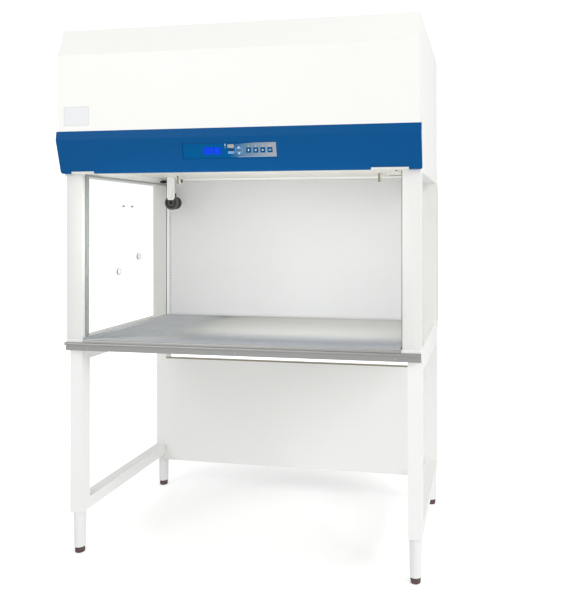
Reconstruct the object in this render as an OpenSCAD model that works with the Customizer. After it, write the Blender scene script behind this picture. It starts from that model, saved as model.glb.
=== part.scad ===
// Laminar flow hood: a clean bench with the fan in its header, a perforated rear
// diffuser, glass sides and a stainless worktop, on a telescopic four-leg stand.
// X runs to the right, Y to the back and Z up; the floor is Z = 0.

/* [Cabinet] */
// Outer width of the cabinet
cabinet_w = 1340; // [1200:10:1700]
// Depth of the plenum behind the header
plenum_d = 84; // [70:2:160]
// Thickness of the folded sheet
sheet = 2; // [1.5:0.5:3]
// Height of the base, from its underside to the side sills
base_h = 41; // [36:1:60]
// Clear height between a side sill and the header's underside
opening_h = 613; // [560:1:760]
// Distance from the header's face back to the base's front
base_set = 47; // [40:1:60]

/* [Header] */
// Height of the header, underside to top
header_h = 541; // [480:1:640]
// Depth of the header
header_d = 740; // [720:2:800]
// Height of the leaning strip along the top front edge
chamfer_h = 102; // [60:1:140]
// How far that strip leans back
chamfer_d = 34; // [15:1:60]
// Rise of the ceiling above the header's underside
ceiling_rise = 31; // [26:1:45]
// Height of the plenum's slope above the header's underside
hump_rise = 76; // [60:1:110]
// Drop of the plenum's slope below the header's underside
hump_drop = 64; // [30:1:100]
// Height of the deck that carries the blower, above the ceiling
deck_rise = 85; // [60:1:120]

/* [Fascia] */
// Height of the folded fascia
fascia_h = 153; // [130:1:170]
// Gap between the fascia's lower edge and the header's underside
fascia_gap = 7; // [4:1:14]
// Height of the strip above the fascia's fold
fascia_strip = 32; // [20:1:45]
// How far the fold stands in front of the header
fascia_proud = 4; // [2:1:10]
// How far the lower edge lies behind the header's face
fascia_in = 27; // [18:1:32]
// How far each end stands out past the header's side
fascia_over = 5; // [3:0.5:8]
// Depth of the returned ends
fascia_return = 17; // [12:1:22]
// Radius of the lower end corners
fascia_corner = 8; // [6:1:16]

/* [Control panel] */
// Width of the control panel
panel_w = 350; // [320:2:420]
// Height of the control panel
panel_h = 57; // [52:1:66]
// Offset of the panel's centre from the cabinet's middle
panel_x = -7; // [-60:1:60]
// Distance from the fold down to the panel's centre
panel_down = 50.5; // [44:0.5:56]
// Thickness of the panel plate
panel_t = 3; // [2:0.5:4]
// Width of the display window
lcd_w = 67; // [50:1:80]
// Height of the display window
lcd_h = 26; // [18:1:32]
// Offset of the display's centre from the panel's centre
lcd_x = -62.5; // [-80:0.5:-55]
// Side of a square key
key_s = 18; // [14:0.5:20]
// Distance between neighbouring square keys
key_pitch = 26; // [23:0.5:30]
// Offset of the four keys' centre from the panel's centre
key_x = 112; // [100:0.5:115]
// Width of an arrow key
arrow_w = 22; // [16:0.5:26]
// Height of an arrow key
arrow_h = 12; // [9:0.5:14]
// Distance between the two arrow keys' centres
arrow_pitch = 20; // [17:0.5:24]
// Offset of the arrow keys from the panel's centre
arrow_x = 37.5; // [30:0.5:45]
// Travel of a key
key_travel = 0.6; // [0.4:0.1:1]
// Height of a key above the panel
key_proud = 1; // [0.8:0.1:1.5]
// Clearance round a key
key_clear = 0.25; // [0.2:0.05:0.4]
// Diameter of an indicator light
led_d = 5; // [3:0.5:6]
// Distance from a key's centre up to its light
led_up = 14.5; // [12:0.5:16]

/* [Work zone] */
// Width of a front post
post_w = 66; // [50:1:90]
// Depth of a front post
post_d = 43; // [34:1:60]
// Distance from the header's face back to a post's face
post_set = 51; // [48:1:70]
// Thickness of the side glass
glass_t = 5; // [4:0.5:8]
// Distance from a post's face back to the glass's front edge
glass_set = 17; // [8:1:25]
// Distance from the header's back forward to the rear columns
column_set = 48; // [40:1:60]
// Height of the worktop's edge above the sill
tray_edge = 8; // [4:0.5:14]
// Distance from the header's face back to the worktop's front edge
tray_y = 44; // [38:1:46]
// Drop of the worktop's front edge
tray_drop = 10; // [8:1:14]
// Radius of the worktop's front edge
tray_bead = 4; // [3:0.5:6]
// Distance between the base's edges and the worktop's webs
web_inset = 40; // [20:2:80]
// Distance from the header's face back to the apron's rounded lip
lip_y = 36; // [28:1:40]
// Height of the apron's lip
lip_h = 10; // [6:1:14]
// Outer diameter of a service port in the glass
port_d = 30; // [22:1:40]
// Height of the first service port above the sill
port_z1 = 292; // [200:1:360]
// Height of the second service port above the sill
port_z2 = 237; // [160:1:280]
// Distance from the header's face back to the first service port
port_y1 = 446; // [380:1:500]
// Distance from the header's face back to the second service port
port_y2 = 293; // [220:1:330]
// Diameter of a blanking stud in the glass
stud_d = 7; // [5:0.5:10]
// Height of the blanking studs above the sill
stud_z = 507; // [450:1:530]
// Distance from the header's face back to the first blanking stud
stud_y = 325; // [250:1:400]
// Distance between the two blanking studs
stud_pitch = 65; // [40:1:90]

/* [Air system] */
// Depth of the main filter
filter_d = 45; // [40:1:48]
// Width of the main filter's frame
filter_edge = 14; // [10:1:20]
// Diameter of the blower wheel
wheel_d = 250; // [200:2:270]
// Width of the blower wheel
wheel_w = 220; // [150:2:260]
// Number of blades on the wheel
blades = 24; // [12:1:36]
// Diameter of the motor
motor_d = 110; // [80:2:130]
// Diameter of the motor's shaft
shaft_d = 12; // [8:1:16]
// Width of the intake opening in the top
intake_w = 620; // [400:10:700]
// Depth of the intake opening in the top
intake_d = 420; // [300:10:460]
// Thickness of the pre-filter pad
prefilter_t = 20; // [10:1:30]

/* [Fittings] */
// Distance between the two lampholders' inner faces
lamp_span = 887; // [800:1:1000]
// Distance from the header's face back to the lampholders
lamp_y = 520; // [440:1:560]
// Depth of a lampholder from front to back
holder_w = 40; // [32:1:50]
// Drop of a lampholder below the ceiling
holder_h = 36; // [32:1:46]
// Thickness of a lampholder
holder_t = 9; // [9:0.5:14]
// Diameter of the work light's tube
tube_d = 16; // [12:1:26]
// Distance from the header's face back to the work light
light_y = 105; // [95:1:115]
// Width of the service valve's hanger bar
hanger_w = 37; // [30:1:44]
// Length of the hanger bar
hanger_h = 102; // [80:1:130]
// Diameter of the service valve's knob
knob_d = 64; // [56:1:72]
// Distance from the side glass in to the service valve's centre
valve_in = 76; // [50:1:120]
// Distance from the rear columns forward to the hanger bar
valve_back = 113; // [90:1:150]
// Width of the wiring cover at the right
cover_w = 61; // [45:1:80]
// Depth of the wiring cover
cover_d = 60; // [40:1:80]

/* [Stand] */
// Height of the cabinet's underside above the floor
stand_h = 778; // [740:1:840]
// Side of a square stand tube
tube = 50; // [44:1:60]
// Wall of a stand tube
tube_wall = 2; // [1.5:0.5:3]
// Height of a side rail
rail_h = 43; // [30:1:50]
// Height of the sleeves' lower ends above the floor
sleeve_z = 158; // [140:1:220]
// Distance from the header's face back to the front sleeves
sleeve_y = 73; // [60:1:90]
// Distance from the plenum's back forward to the rear sleeves
sleeve_back = 52; // [30:1:80]
// Clearance between an inner leg and its sleeve
leg_clear = 0.3; // [0.2:0.05:0.5]
// Length of an inner leg
leg_len = 520; // [460:5:560]
// How much thinner a leg's lower end is
leg_taper = 3.6; // [0:0.2:6]
// Wall of an inner leg
leg_wall = 2.5; // [2:0.5:4]
// Diameter of a foot pad
foot_d = 37; // [32:0.5:40]
// Height of a foot pad
foot_h = 23; // [20:1:36]
// Diameter of a foot's threaded stud
stud_leg_d = 12; // [8:1:14]
// Height of the panel between the rear sleeves
modesty_h = 490; // [400:1:520]
// Height of that panel's lower edge above the floor
modesty_z = 128; // [110:1:200]
// Overlap of that panel on each rear sleeve
modesty_lap = 10; // [6:1:20]

/* [Hidden] */
$fn = 48;

fit = 0.05;
gap = 0.3;
eps = 0.01;
screw_d = 5;
panel_recess = sheet;

half_w = cabinet_w / 2;
cabinet_d = header_d + plenum_d;
column_y = header_d - column_set;
valve_y = column_y - valve_back;
sill_z = stand_h + base_h;
under_z = sill_z + opening_h;
top_z = under_z + header_h;
ceil_z = under_z + ceiling_rise;
post_x = half_w - post_w;
glass_x = post_x - glass_t;
valve_x = glass_x - valve_in;
fold_z = top_z - chamfer_h;
fascia_z0 = under_z + fascia_gap;
fascia_z1 = fascia_z0 + fascia_h;
fascia_zf = fascia_z1 - fascia_strip;
deck_z = ceil_z + deck_rise;
hump_z = under_z + hump_rise;
tray_x = glass_x - 0.5;
tray_back = column_y - sheet;
mid_y = (cabinet_d - fascia_proud) / 2;
module seat() { translate([0, -mid_y, 0]) children(); }
module both_sides() { children(); mirror([1, 0, 0]) children(); }
// Extrudes a [y, z] outline along X, centred, with the given width
module across(width) {
    translate([-width / 2, 0, 0]) rotate([90, 0, 90]) linear_extrude(width) children();
}

// ---- Stand ----
bore = tube - 2 * tube_wall;
leg_d = bore - 2 * leg_clear;
sleeve_x = half_w - tube;
rear_y = cabinet_d - sleeve_back - tube;
sleeve_span = rear_y - sleeve_y;
leg_x = half_w - tube / 2;
leg_y = [sleeve_y + tube / 2, rear_y + tube / 2];
bolt_d = 8;
bolt_z = sleeve_z + rail_h + 28;
bolt_boss = 8;

module square_tube(length) {
    difference() {
        cube([tube, tube, length]);
        translate([tube_wall, tube_wall, -1]) cube([bore, bore, length + 2]);
    }
}

module rail(z) {
    translate([0, sleeve_y + tube - tube_wall, z]) difference() {
        cube([tube, sleeve_span - tube + 2 * tube_wall, rail_h]);
        translate([tube_wall, -1, tube_wall])
            cube([bore, sleeve_span, rail_h - 2 * tube_wall]);
    }
}

module side_frame() {
    difference() {
        union() {
            for (y = [sleeve_y, rear_y])
                translate([0, y, sleeve_z]) square_tube(stand_h - sleeve_z);
            for (z = [sleeve_z, stand_h - rail_h]) rail(z);
            for (y = leg_y)
                translate([tube / 2, y + tube / 2, bolt_z]) rotate([-90, 0, 0])
                    cylinder(d = 2.2 * bolt_d, h = bolt_boss);
        }
        for (y = [sleeve_y, rear_y]) translate([tube_wall, y + tube_wall, sleeve_z - 1])
            cube([bore, bore, stand_h - sleeve_z + 2]);
        for (y = leg_y) translate([tube / 2, y, bolt_z]) rotate([-90, 0, 0])
            cylinder(d = bolt_d + 2 * fit, h = tube);
    }
}

module frame_left() {
    difference() {
        translate([-half_w, 0, 0]) side_frame();
        modesty_points() cylinder(d = screw_d + 2 * fit, h = 4 * sheet);
    }
}

module stand_frame_left() { color("white") seat() frame_left(); }
module stand_frame_right() { color("white") seat() mirror([1, 0, 0]) frame_left(); }

modesty_return = 14;
modesty_half = sleeve_x + modesty_lap;
module modesty_panel() {
    color("gainsboro") seat() difference() {
        union() {
            translate([-modesty_half, rear_y - sheet, modesty_z])
                cube([2 * modesty_half, sheet, modesty_h]);
            for (z = [modesty_z, modesty_z + modesty_h - sheet])
                translate([-sleeve_x + gap, rear_y - sheet, z])
                    cube([2 * (sleeve_x - gap), modesty_return, sheet]);
        }
        both_sides() translate([sleeve_x - gap, rear_y - 2 * sheet, sleeve_z - gap])
            cube([2 * modesty_lap, 3 * sheet, rail_h + 2 * gap]);
        modesty_points() cylinder(d = screw_d + 2 * fit, h = 4 * sheet);
    }
}

// Puts children at the panel's screws, with local Z running into the sleeve
module modesty_points() {
    margin = 95;
    for (s = [-1, 1]) for (z = [modesty_z + margin, modesty_z + modesty_h - margin / 2])
        translate([s * (modesty_half - modesty_lap / 2), rear_y - sheet, z]) rotate([-90, 0, 0])
            translate([0, 0, -2]) children();
}

// Puts children at the apron's screws, with local Z running into the base
module apron_points() {
    for (x = [-half_w + 90, 0, half_w - 90])
        translate([x, base_set - 2, stand_h + 10]) rotate([-90, 0, 0]) children();
}

module cover_screws() {
    color("silver") seat() {
        modesty_points() panel_screw();
        apron_points() panel_screw();
    }
}

module panel_screw() {
    cylinder(d1 = screw_d + 2, d2 = 2 * screw_d, h = 2);
    cylinder(d = screw_d, h = 2 + 2 * sheet);
}

module leg_clamp_bolts() {
    tip = leg_d / 2 + fit;
    reach = tube / 2 + bolt_boss;
    color("silver") seat() both_sides() for (y = leg_y) translate([leg_x, y, bolt_z])
        rotate([-90, 0, 0]) {
            translate([0, 0, tip]) cylinder(d = bolt_d, h = reach - tip + 2);
            translate([0, 0, reach]) cylinder(d = 15, h = 5.5, $fn = 6);
        }
}

module inner_leg(sx, iy) {
    taper_h = sleeve_z - foot_h;
    translate([sx * leg_x, leg_y[iy], foot_h]) difference() {
        union() {
            cylinder(d1 = leg_d - leg_taper, d2 = leg_d, h = taper_h, $fn = 64);
            translate([0, 0, taper_h]) cylinder(d = leg_d, h = leg_len - taper_h, $fn = 64);
        }
        translate([0, 0, 12]) cylinder(d = leg_d - leg_taper - 2 * leg_wall, h = leg_len);
        translate([0, 0, -1]) cylinder(d = stud_leg_d + 2 * fit, h = 20);
    }
}

module foot(sx, iy) {
    translate([sx * leg_x, leg_y[iy], 0]) {
        rotate_extrude($fn = 64) polygon([
            [0, 0], [foot_d / 2 - 4, 0], [foot_d / 2 - 1.5, 2], [foot_d / 2 - 0.5, 7],
            [foot_d / 2, foot_h - 9], [foot_d / 2 - 1.5, foot_h - 5], [stud_leg_d, foot_h - 5],
            [stud_leg_d, foot_h - 0.3], [stud_leg_d / 2, foot_h - 0.3],
            [stud_leg_d / 2, foot_h + 30], [stud_leg_d / 2 - 1, foot_h + 31], [0, foot_h + 31]
        ]);
    }
}

module inner_leg_front_left() { color("whitesmoke") seat() inner_leg(-1, 0); }
module inner_leg_front_right() { color("whitesmoke") seat() inner_leg(1, 0); }
module inner_leg_rear_left() { color("whitesmoke") seat() inner_leg(-1, 1); }
module inner_leg_rear_right() { color("whitesmoke") seat() inner_leg(1, 1); }
module foot_front_left() { color([0.22, 0.09, 0.09]) seat() foot(-1, 0); }
module foot_front_right() { color([0.22, 0.09, 0.09]) seat() foot(1, 0); }
module foot_rear_left() { color([0.22, 0.09, 0.09]) seat() foot(-1, 1); }
module foot_rear_right() { color([0.22, 0.09, 0.09]) seat() foot(1, 1); }

// ---- Base and worktop ----
base_y = base_set + sheet;
apron_z1 = sill_z - tray_drop;
module base_pan() {
    depth = cabinet_d - base_y;
    color("whitesmoke") seat() difference() {
        translate([-half_w, base_y, stand_h]) cube([cabinet_w, depth, base_h]);
        translate([-half_w + sheet, base_y + sheet, stand_h + sheet])
            cube([cabinet_w - 2 * sheet, depth - 2 * sheet, base_h - 2 * sheet]);
        translate([-glass_x, base_y + sheet, sill_z - 2 * sheet])
            cube([2 * glass_x, tray_back - base_y - sheet, 3 * sheet]);
        translate([-glass_x, base_y - 1, apron_z1]) cube([2 * glass_x, sheet + 2, base_h]);
        apron_points() cylinder(d = screw_d + 2 * fit, h = 4 * sheet);
    }
}

module worktop_tray() {
    bead = tray_bead;
    webs = 6;
    web_span = 2 * (tray_x - web_inset);
    web_h = base_h - 2 * sheet;
    color("silver") seat() {
        translate([-tray_x, tray_y + bead, sill_z - sheet])
            cube([2 * tray_x, tray_back - tray_y - bead, sheet]);
        translate([-tray_x, tray_y, apron_z1]) cube([2 * tray_x, sheet, tray_drop - bead]);
        across(2 * tray_x) translate([tray_y + bead, sill_z - bead]) intersection() {
            difference() {
                circle(r = bead);
                circle(r = bead - sheet);
            }
            translate([-bead, 0]) square(bead);
        }
        for (s = [-1, 1])
            translate([s * (tray_x - sheet / 2) - sheet / 2, post_set, sill_z - sheet])
                cube([sheet, tray_back - post_set, tray_edge + sheet]);
        translate([-tray_x, tray_back - sheet, sill_z - sheet])
            cube([2 * tray_x, sheet, tray_edge + sheet]);
        for (i = [0:webs - 1])
            translate([(i / (webs - 1) - 0.5) * web_span, base_y + web_inset, stand_h + sheet])
                cube([sheet, tray_back - base_y - 2 * web_inset, web_h]);
    }
}

module front_apron() {
    r = lip_h / 2;
    color([0.72, 0.72, 0.71]) seat() difference() {
        union() {
            translate([-half_w, base_set, stand_h])
                cube([cabinet_w, sheet, apron_z1 - r - stand_h]);
            across(cabinet_w) {
                translate([lip_y + r, apron_z1 - r]) circle(r = r);
                translate([lip_y + r, apron_z1 - lip_h]) square([base_y - lip_y - r, lip_h]);
            }
        }
        apron_points() cylinder(d = screw_d + 2 * fit, h = 4 * sheet);
    }
}

// ---- Posts, glass and rear ----
module front_post() {
    translate([post_x, post_set, sill_z]) difference() {
        cube([post_w, post_d, opening_h]);
        translate([sheet, sheet, -1]) cube([post_w - 2 * sheet, post_d - 2 * sheet, opening_h + 2]);
    }
}
module front_post_left() { color("white") seat() mirror([1, 0, 0]) front_post(); }
module front_post_right() { color("white") seat() front_post(); }

glass_z0 = sill_z;
glass_z1 = under_z + 6;
glass_y0 = post_set + glass_set;
glass_y1 = column_y + 10;
ports = [[port_y1, sill_z + port_z1], [port_y2, sill_z + port_z2]];
studs = [[stud_y, sill_z + stud_z], [stud_y + stud_pitch, sill_z + stud_z]];
module side_glass() {
    translate([glass_x, 0, 0]) difference() {
        translate([0, glass_y0, glass_z0])
            cube([glass_t, glass_y1 - glass_y0, glass_z1 - glass_z0]);
        for (p = ports) translate([-1, p[0], p[1]]) rotate([0, 90, 0])
            cylinder(d = port_d - 8 + 2 * fit, h = glass_t + 2);
        for (p = studs) translate([-1, p[0], p[1]]) rotate([0, 90, 0])
            cylinder(d = stud_d - 2 + 2 * fit, h = glass_t + 2);
    }
}
module side_glass_left() { color([0.8, 0.9, 0.86, 0.35]) seat() mirror([1, 0, 0]) side_glass(); }
module side_glass_right() { color([0.8, 0.9, 0.86, 0.35]) seat() side_glass(); }

port_bore = port_d - 14;
module glass_port_grommets() {
    flange = 3;
    color([0.6, 0.6, 0.57]) seat() both_sides() for (p = ports)
        translate([glass_x, p[0], p[1]]) rotate([0, 90, 0]) difference() {
            union() {
                translate([0, 0, -flange]) cylinder(d1 = port_d - 3, d2 = port_d, h = flange);
                translate([0, 0, glass_t]) cylinder(d1 = port_d, d2 = port_d - 3, h = flange);
                translate([0, 0, -eps]) cylinder(d = port_d - 8, h = glass_t + 2 * eps);
            }
            translate([0, 0, -flange - 1]) cylinder(d = port_bore, h = glass_t + 2 * flange + 2);
        }
}

module glass_studs() {
    head = 1.2;
    color([0.1, 0.1, 0.1]) seat() both_sides() for (p = studs)
        translate([glass_x, p[0], p[1]]) rotate([0, 90, 0]) {
            translate([0, 0, -head]) cylinder(d1 = stud_d - 2, d2 = stud_d, h = head);
            translate([0, 0, glass_t]) cylinder(d1 = stud_d, d2 = stud_d - 2, h = head);
            translate([0, 0, -eps]) cylinder(d = stud_d - 2, h = glass_t + 2 * eps);
        }
}

// Outline of the plenum's side, from the column back to the sloping top
module plenum_side() {
    polygon([
        [column_y, sill_z], [cabinet_d - sheet, sill_z], [cabinet_d - sheet, under_z - hump_drop],
        [header_d, hump_z], [header_d, under_z], [column_y, under_z]
    ]);
}

module rear_columns() {
    color("white") seat() both_sides() {
        translate([half_w - sheet, 0, 0]) rotate([90, 0, 90]) linear_extrude(sheet) plenum_side();
        translate([post_x, column_y, sill_z]) cube([post_w, sheet, opening_h]);
        translate([post_x, column_y, sill_z]) cube([sheet, 12, opening_h]);
        translate([half_w - 20, cabinet_d - 2 * sheet, sill_z])
            cube([20, sheet, opening_h - hump_drop]);
        translate([post_x, column_y, sill_z]) cube([post_w, cabinet_d - column_y - sheet, sheet]);
    }
}

module rear_cover() {
    lap = 20;
    color("white") seat() across(cabinet_w) polygon([
        [cabinet_d - sheet, sill_z], [cabinet_d, sill_z], [cabinet_d, under_z - hump_drop],
        [header_d + sheet, hump_z], [header_d + sheet, hump_z + lap], [header_d, hump_z + lap],
        [header_d, hump_z], [cabinet_d - sheet, under_z - hump_drop]
    ]);
}

diffuser_z0 = sill_z;
diffuser_d = 12;
module rear_diffuser() {
    h = ceil_z - diffuser_z0;
    color([0.86, 0.86, 0.86]) seat() difference() {
        translate([-tray_x, tray_back, diffuser_z0]) cube([2 * tray_x, diffuser_d, h]);
        translate([-tray_x + sheet, tray_back + sheet, diffuser_z0 + sheet])
            cube([2 * tray_x - 2 * sheet, diffuser_d, h - 2 * sheet]);
    }
}

filter_y = tray_back + diffuser_d + gap;
// A block in the filter's place; edge insets it in X and Z, skin in Y
module filter_block(edge, skin) {
    translate([-tray_x + edge, filter_y + skin, diffuser_z0 + edge])
        cube([2 * (tray_x - edge), filter_d - 2 * skin, ceil_z - diffuser_z0 - 2 * edge]);
}
module filter_frame() {
    color("silver") seat() difference() {
        filter_block(0, 0);
        filter_block(filter_edge, -1);
    }
}
module filter_media() { color("white") seat() filter_block(filter_edge, 4); }

// ---- Header ----
// Outline of the header's side, behind the front cover and the fascia
module header_side() {
    polygon([
        [header_d, under_z], [header_d, top_z - sheet],
        [chamfer_d + 2 * sheet, top_z - sheet], [2 * sheet, fold_z], [sheet, fold_z - sheet],
        [sheet, fascia_z1], [fascia_return, fascia_z1],
        [fascia_return - fascia_proud, fascia_zf], [fascia_in + fascia_return, fascia_z0],
        [fascia_in + fascia_return, under_z]
    ]);
}

header_y = fascia_in + fascia_return;
gland_d = 20;
gland_in = 150;
gland_drop = 120;
gland_x = half_w - gland_in;
gland_z = top_z - gland_drop;
module header_shell() {
    color("white") seat() difference() {
        union() {
            both_sides() {
                translate([half_w - sheet, 0, 0]) rotate([90, 0, 90]) linear_extrude(sheet)
                    header_side();
                translate([post_x, header_y, under_z]) cube([post_w, header_d - header_y, sheet]);
                translate([post_x, header_y, under_z])
                    cube([sheet, tray_back - header_y, ceiling_rise + 20]);
                translate([post_x, header_y, under_z])
                    cube([post_w, sheet, ceiling_rise + trough_h]);
            }
            translate([-half_w, chamfer_d + 2 * sheet, top_z - sheet])
                cube([cabinet_w, header_d - chamfer_d - 2 * sheet, sheet]);
            translate([-half_w, header_d - sheet, hump_z])
                cube([cabinet_w, sheet, top_z - hump_z]);
        }
        translate([-intake_w / 2, header_d / 2 - intake_d / 2, top_z - 2 * sheet])
            cube([intake_w, intake_d, 4 * sheet]);
        translate([gland_x, header_d + 1, gland_z]) rotate([90, 0, 0])
            cylinder(d = gland_d + 2 * fit, h = 3 * sheet);
    }
}

module front_cover() {
    color("white") seat() across(cabinet_w) polygon([
        [0, fascia_z1], [sheet, fascia_z1], [sheet, fold_z - sheet], [2 * sheet, fold_z],
        [chamfer_d + 2 * sheet, top_z - sheet], [chamfer_d + 2 * sheet, top_z],
        [chamfer_d, top_z], [0, fold_z]
    ]);
}

tilt = atan2(fascia_in + fascia_proud, fascia_h - fascia_strip);
// Places children on the fascia's sloped face, at x and a distance down from the fold;
// local Y runs up the slope and local Z points out of the face
module on_slope(x, down) {
    translate([x, -fascia_proud, fascia_zf]) rotate([90 + tilt, 0, 0]) translate([0, -down, 0])
        children();
}

fascia_half = half_w + fascia_over;
// Outline of the fascia's side; inset moves its front and ends inwards
module fascia_outline(inset) {
    back = fascia_return + (inset > 0 ? 1 : 0);
    skin = inset / cos(tilt);
    polygon([
        [skin, fascia_z1 - inset], [skin - fascia_proud, fascia_zf],
        [fascia_in + skin - inset * tan(tilt), fascia_z0 + inset],
        [fascia_in + back, fascia_z0 + inset],
        [back - fascia_proud, fascia_zf], [back, fascia_z1 - inset]
    ]);
}
// Keeps a body's lower end corners inside the rounded shape of the fascia
module fascia_rounding(inset) {
    half = fascia_half - inset;
    r = fascia_corner - inset;
    translate([0, 80, fascia_z0 + inset]) rotate([90, 0, 0]) linear_extrude(100) {
        translate([-half, r]) square([2 * half, fascia_h]);
        translate([-half + r, 0]) square([2 * (half - r), fascia_h]);
        for (s = [-1, 1]) translate([s * (half - r), r]) circle(r = r);
    }
}
module fascia() {
    color([0.04, 0.36, 0.58]) seat() difference() {
        intersection() {
            across(2 * fascia_half) fascia_outline(0);
            fascia_rounding(0);
        }
        intersection() {
            across(2 * (fascia_half - sheet)) fascia_outline(sheet);
            fascia_rounding(sheet);
        }
        on_slope(panel_x, panel_down) translate([-panel_w / 2, -panel_h / 2, -3 * sheet])
            cube([panel_w, panel_h, 6 * sheet]);
    }
}

clip_left_w = 90;
clip_right_w = 130;
clip_inset = 40;
clip_lip = 7;
clip_t = 1.5;
// A strip hooked round the fascia's lower edge, from x to x + w
module fascia_clip(x, w) {
    lean = clip_lip * tan(tilt);
    translate([x + w / 2, 0, 0]) across(w) polygon([
        [fascia_in + fascia_return, fascia_z0], [fascia_in, fascia_z0],
        [fascia_in - lean, fascia_z0 + clip_lip],
        [fascia_in - lean - clip_t, fascia_z0 + clip_lip],
        [fascia_in - clip_t, fascia_z0 - clip_t],
        [fascia_in + fascia_return, fascia_z0 - clip_t]
    ]);
}
module fascia_clips() {
    color("gainsboro") seat() {
        fascia_clip(-half_w + clip_inset, clip_left_w);
        fascia_clip(half_w - clip_inset - clip_right_w, clip_right_w);
    }
}

ceiling_y = light_y + 50;
module ceiling_panel() {
    color("ivory") seat() translate([-post_x, ceiling_y, ceil_z])
        cube([2 * post_x, filter_y + filter_d - ceiling_y, sheet]);
}

trough_h = 60;
module light_trough() {
    color("white") seat() difference() {
        translate([-post_x, header_y, ceil_z])
            cube([2 * post_x, ceiling_y - header_y, trough_h]);
        translate([-post_x + sheet, header_y + sheet, ceil_z - 1])
            cube([2 * (post_x - sheet), ceiling_y - header_y - 2 * sheet, trough_h - sheet + 1]);
    }
}

light_len = 2 * (post_x - 29.5);
light_z = ceil_z + 26;
holder_s = 20;
module light_tube() {
    color("white") seat() translate([-light_len / 2, light_y, light_z]) rotate([0, 90, 0])
        cylinder(d = tube_d, h = light_len);
}
module light_holders() {
    color("gainsboro") seat() both_sides()
        translate([light_len / 2, light_y - holder_s / 2, light_z - 16])
            cube([16, holder_s, ceil_z + trough_h - sheet - light_z + 16]);
}

// ---- Ceiling fittings ----
holder_r = 9;
rotor_d = 17;
rotor_y = lamp_y + 8;
rotor_z = ceil_z - holder_h + 15;
module lampholders() {
    z0 = ceil_z - holder_h;
    back = lamp_y + holder_w / 2;
    color("white") seat() both_sides() translate([lamp_span / 2, 0, 0]) difference() {
        union() {
            translate([0, lamp_y - holder_w / 2, z0]) cube([holder_t, holder_w - holder_r, holder_h]);
            translate([0, lamp_y, z0 + holder_r]) cube([holder_t, holder_w / 2, holder_h - holder_r]);
            translate([0, back - holder_r, z0 + holder_r]) rotate([0, 90, 0])
                cylinder(r = holder_r, h = holder_t);
        }
        translate([-1, rotor_y, rotor_z]) rotate([0, 90, 0]) {
            cylinder(d = rotor_d + 2 * fit, h = 7);
            cylinder(d = rotor_d + 3, h = 2);
        }
        translate([-1, rotor_y - 1.5, z0 - 1]) cube([5, 3, holder_h / 2]);
    }
}
module rotor() {
    translate([lamp_span / 2, rotor_y, rotor_z]) rotate([0, 90, 0]) difference() {
        cylinder(d = rotor_d, h = 6 - fit);
        translate([-rotor_d, -1.5, -1]) cube([2 * rotor_d, 3, 5]);
    }
}
module lampholder_rotor_left() { color("dimgray") seat() mirror([1, 0, 0]) rotor(); }
module lampholder_rotor_right() { color("dimgray") seat() rotor(); }

valve_z = ceil_z - hanger_h - 13;
knob_t = 12;
hanger_t = 3;
module service_hanger() {
    foot_d = 30;
    end_h = 8;
    end_in = 4;
    z0 = ceil_z - hanger_h;
    color("white") seat() translate([-valve_x, valve_y, 0]) difference() {
        union() {
            translate([-hanger_w / 2, 0, z0 + end_h]) cube([hanger_w, hanger_t, hanger_h - end_h]);
            translate([-hanger_w / 2 + end_in, 0, z0])
                cube([hanger_w - 2 * end_in, hanger_t, end_h + 1]);
            translate([-hanger_w / 2, 0, ceil_z - hanger_t]) cube([hanger_w, foot_d, hanger_t]);
        }
        for (x = [-3, 3]) translate([x, hanger_t + 1, z0 + end_h + 3]) rotate([90, 0, 0])
            cylinder(d = 3, h = hanger_t + 2);
    }
}
barrel_h = 26;
spindle_d = 10;
rear_t = 9;
inlet_d = 8;
module service_valve_body() {
    back = knob_t + gap;
    arm_w = 16;
    arm_h = knob_d / 2 + 12;
    color([0.2, 0.2, 0.18]) seat() translate([-valve_x, valve_y + hanger_t, valve_z]) difference() {
        union() {
            translate([0, back, 0]) rotate([-90, 0, 0]) cylinder(d = 0.6 * knob_d, h = barrel_h);
            translate([0, back + barrel_h, 0]) rotate([-90, 0, 0])
                cylinder(d = knob_d - 7, h = rear_t);
            translate([-arm_w / 2, 0, 0]) cube([arm_w, back + 8, arm_h]);
            translate([0, back + barrel_h + rear_t / 2, 0]) cylinder(d = inlet_d, h = arm_h);
        }
        translate([0, back - 1, 0]) rotate([-90, 0, 0]) cylinder(d = spindle_d + 2 * fit, h = 20);
        translate([0, -1, 0]) rotate([-90, 0, 0]) cylinder(d = knob_d + 2, h = back + 1);
    }
}
module service_valve_knob() {
    rim = 3;
    color([0.15, 0.15, 0.14]) seat() translate([-valve_x, valve_y + hanger_t + gap, valve_z])
        rotate([-90, 0, 0]) difference() {
            union() {
                cylinder(d1 = knob_d - 4, d2 = knob_d, h = rim);
                translate([0, 0, rim]) cylinder(d = knob_d, h = knob_t - rim - gap);
                cylinder(d = spindle_d, h = knob_t + 16);
            }
            translate([0, 0, -1]) cylinder(d = 17, h = 6);
            difference() {
                translate([0, 0, -1]) cylinder(d = 0.75 * knob_d, h = 2.2);
                translate([0, 0, -2]) cylinder(d = 0.5 * knob_d, h = 5);
            }
        }
}

module cable_bush() {
    inset = 54;
    length = 33;
    cone_h = 17;
    color([0.06, 0.06, 0.06]) seat()
        translate([-post_x, tray_back - inset, ceil_z - 16]) rotate([0, 90, 0]) difference() {
            union() {
                cylinder(d1 = 6, d2 = 17, h = cone_h);
                translate([0, 0, cone_h]) cylinder(d = 13, h = length - cone_h);
            }
            translate([0, 0, cone_h]) cylinder(d = 8, h = length);
        }
}

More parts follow.
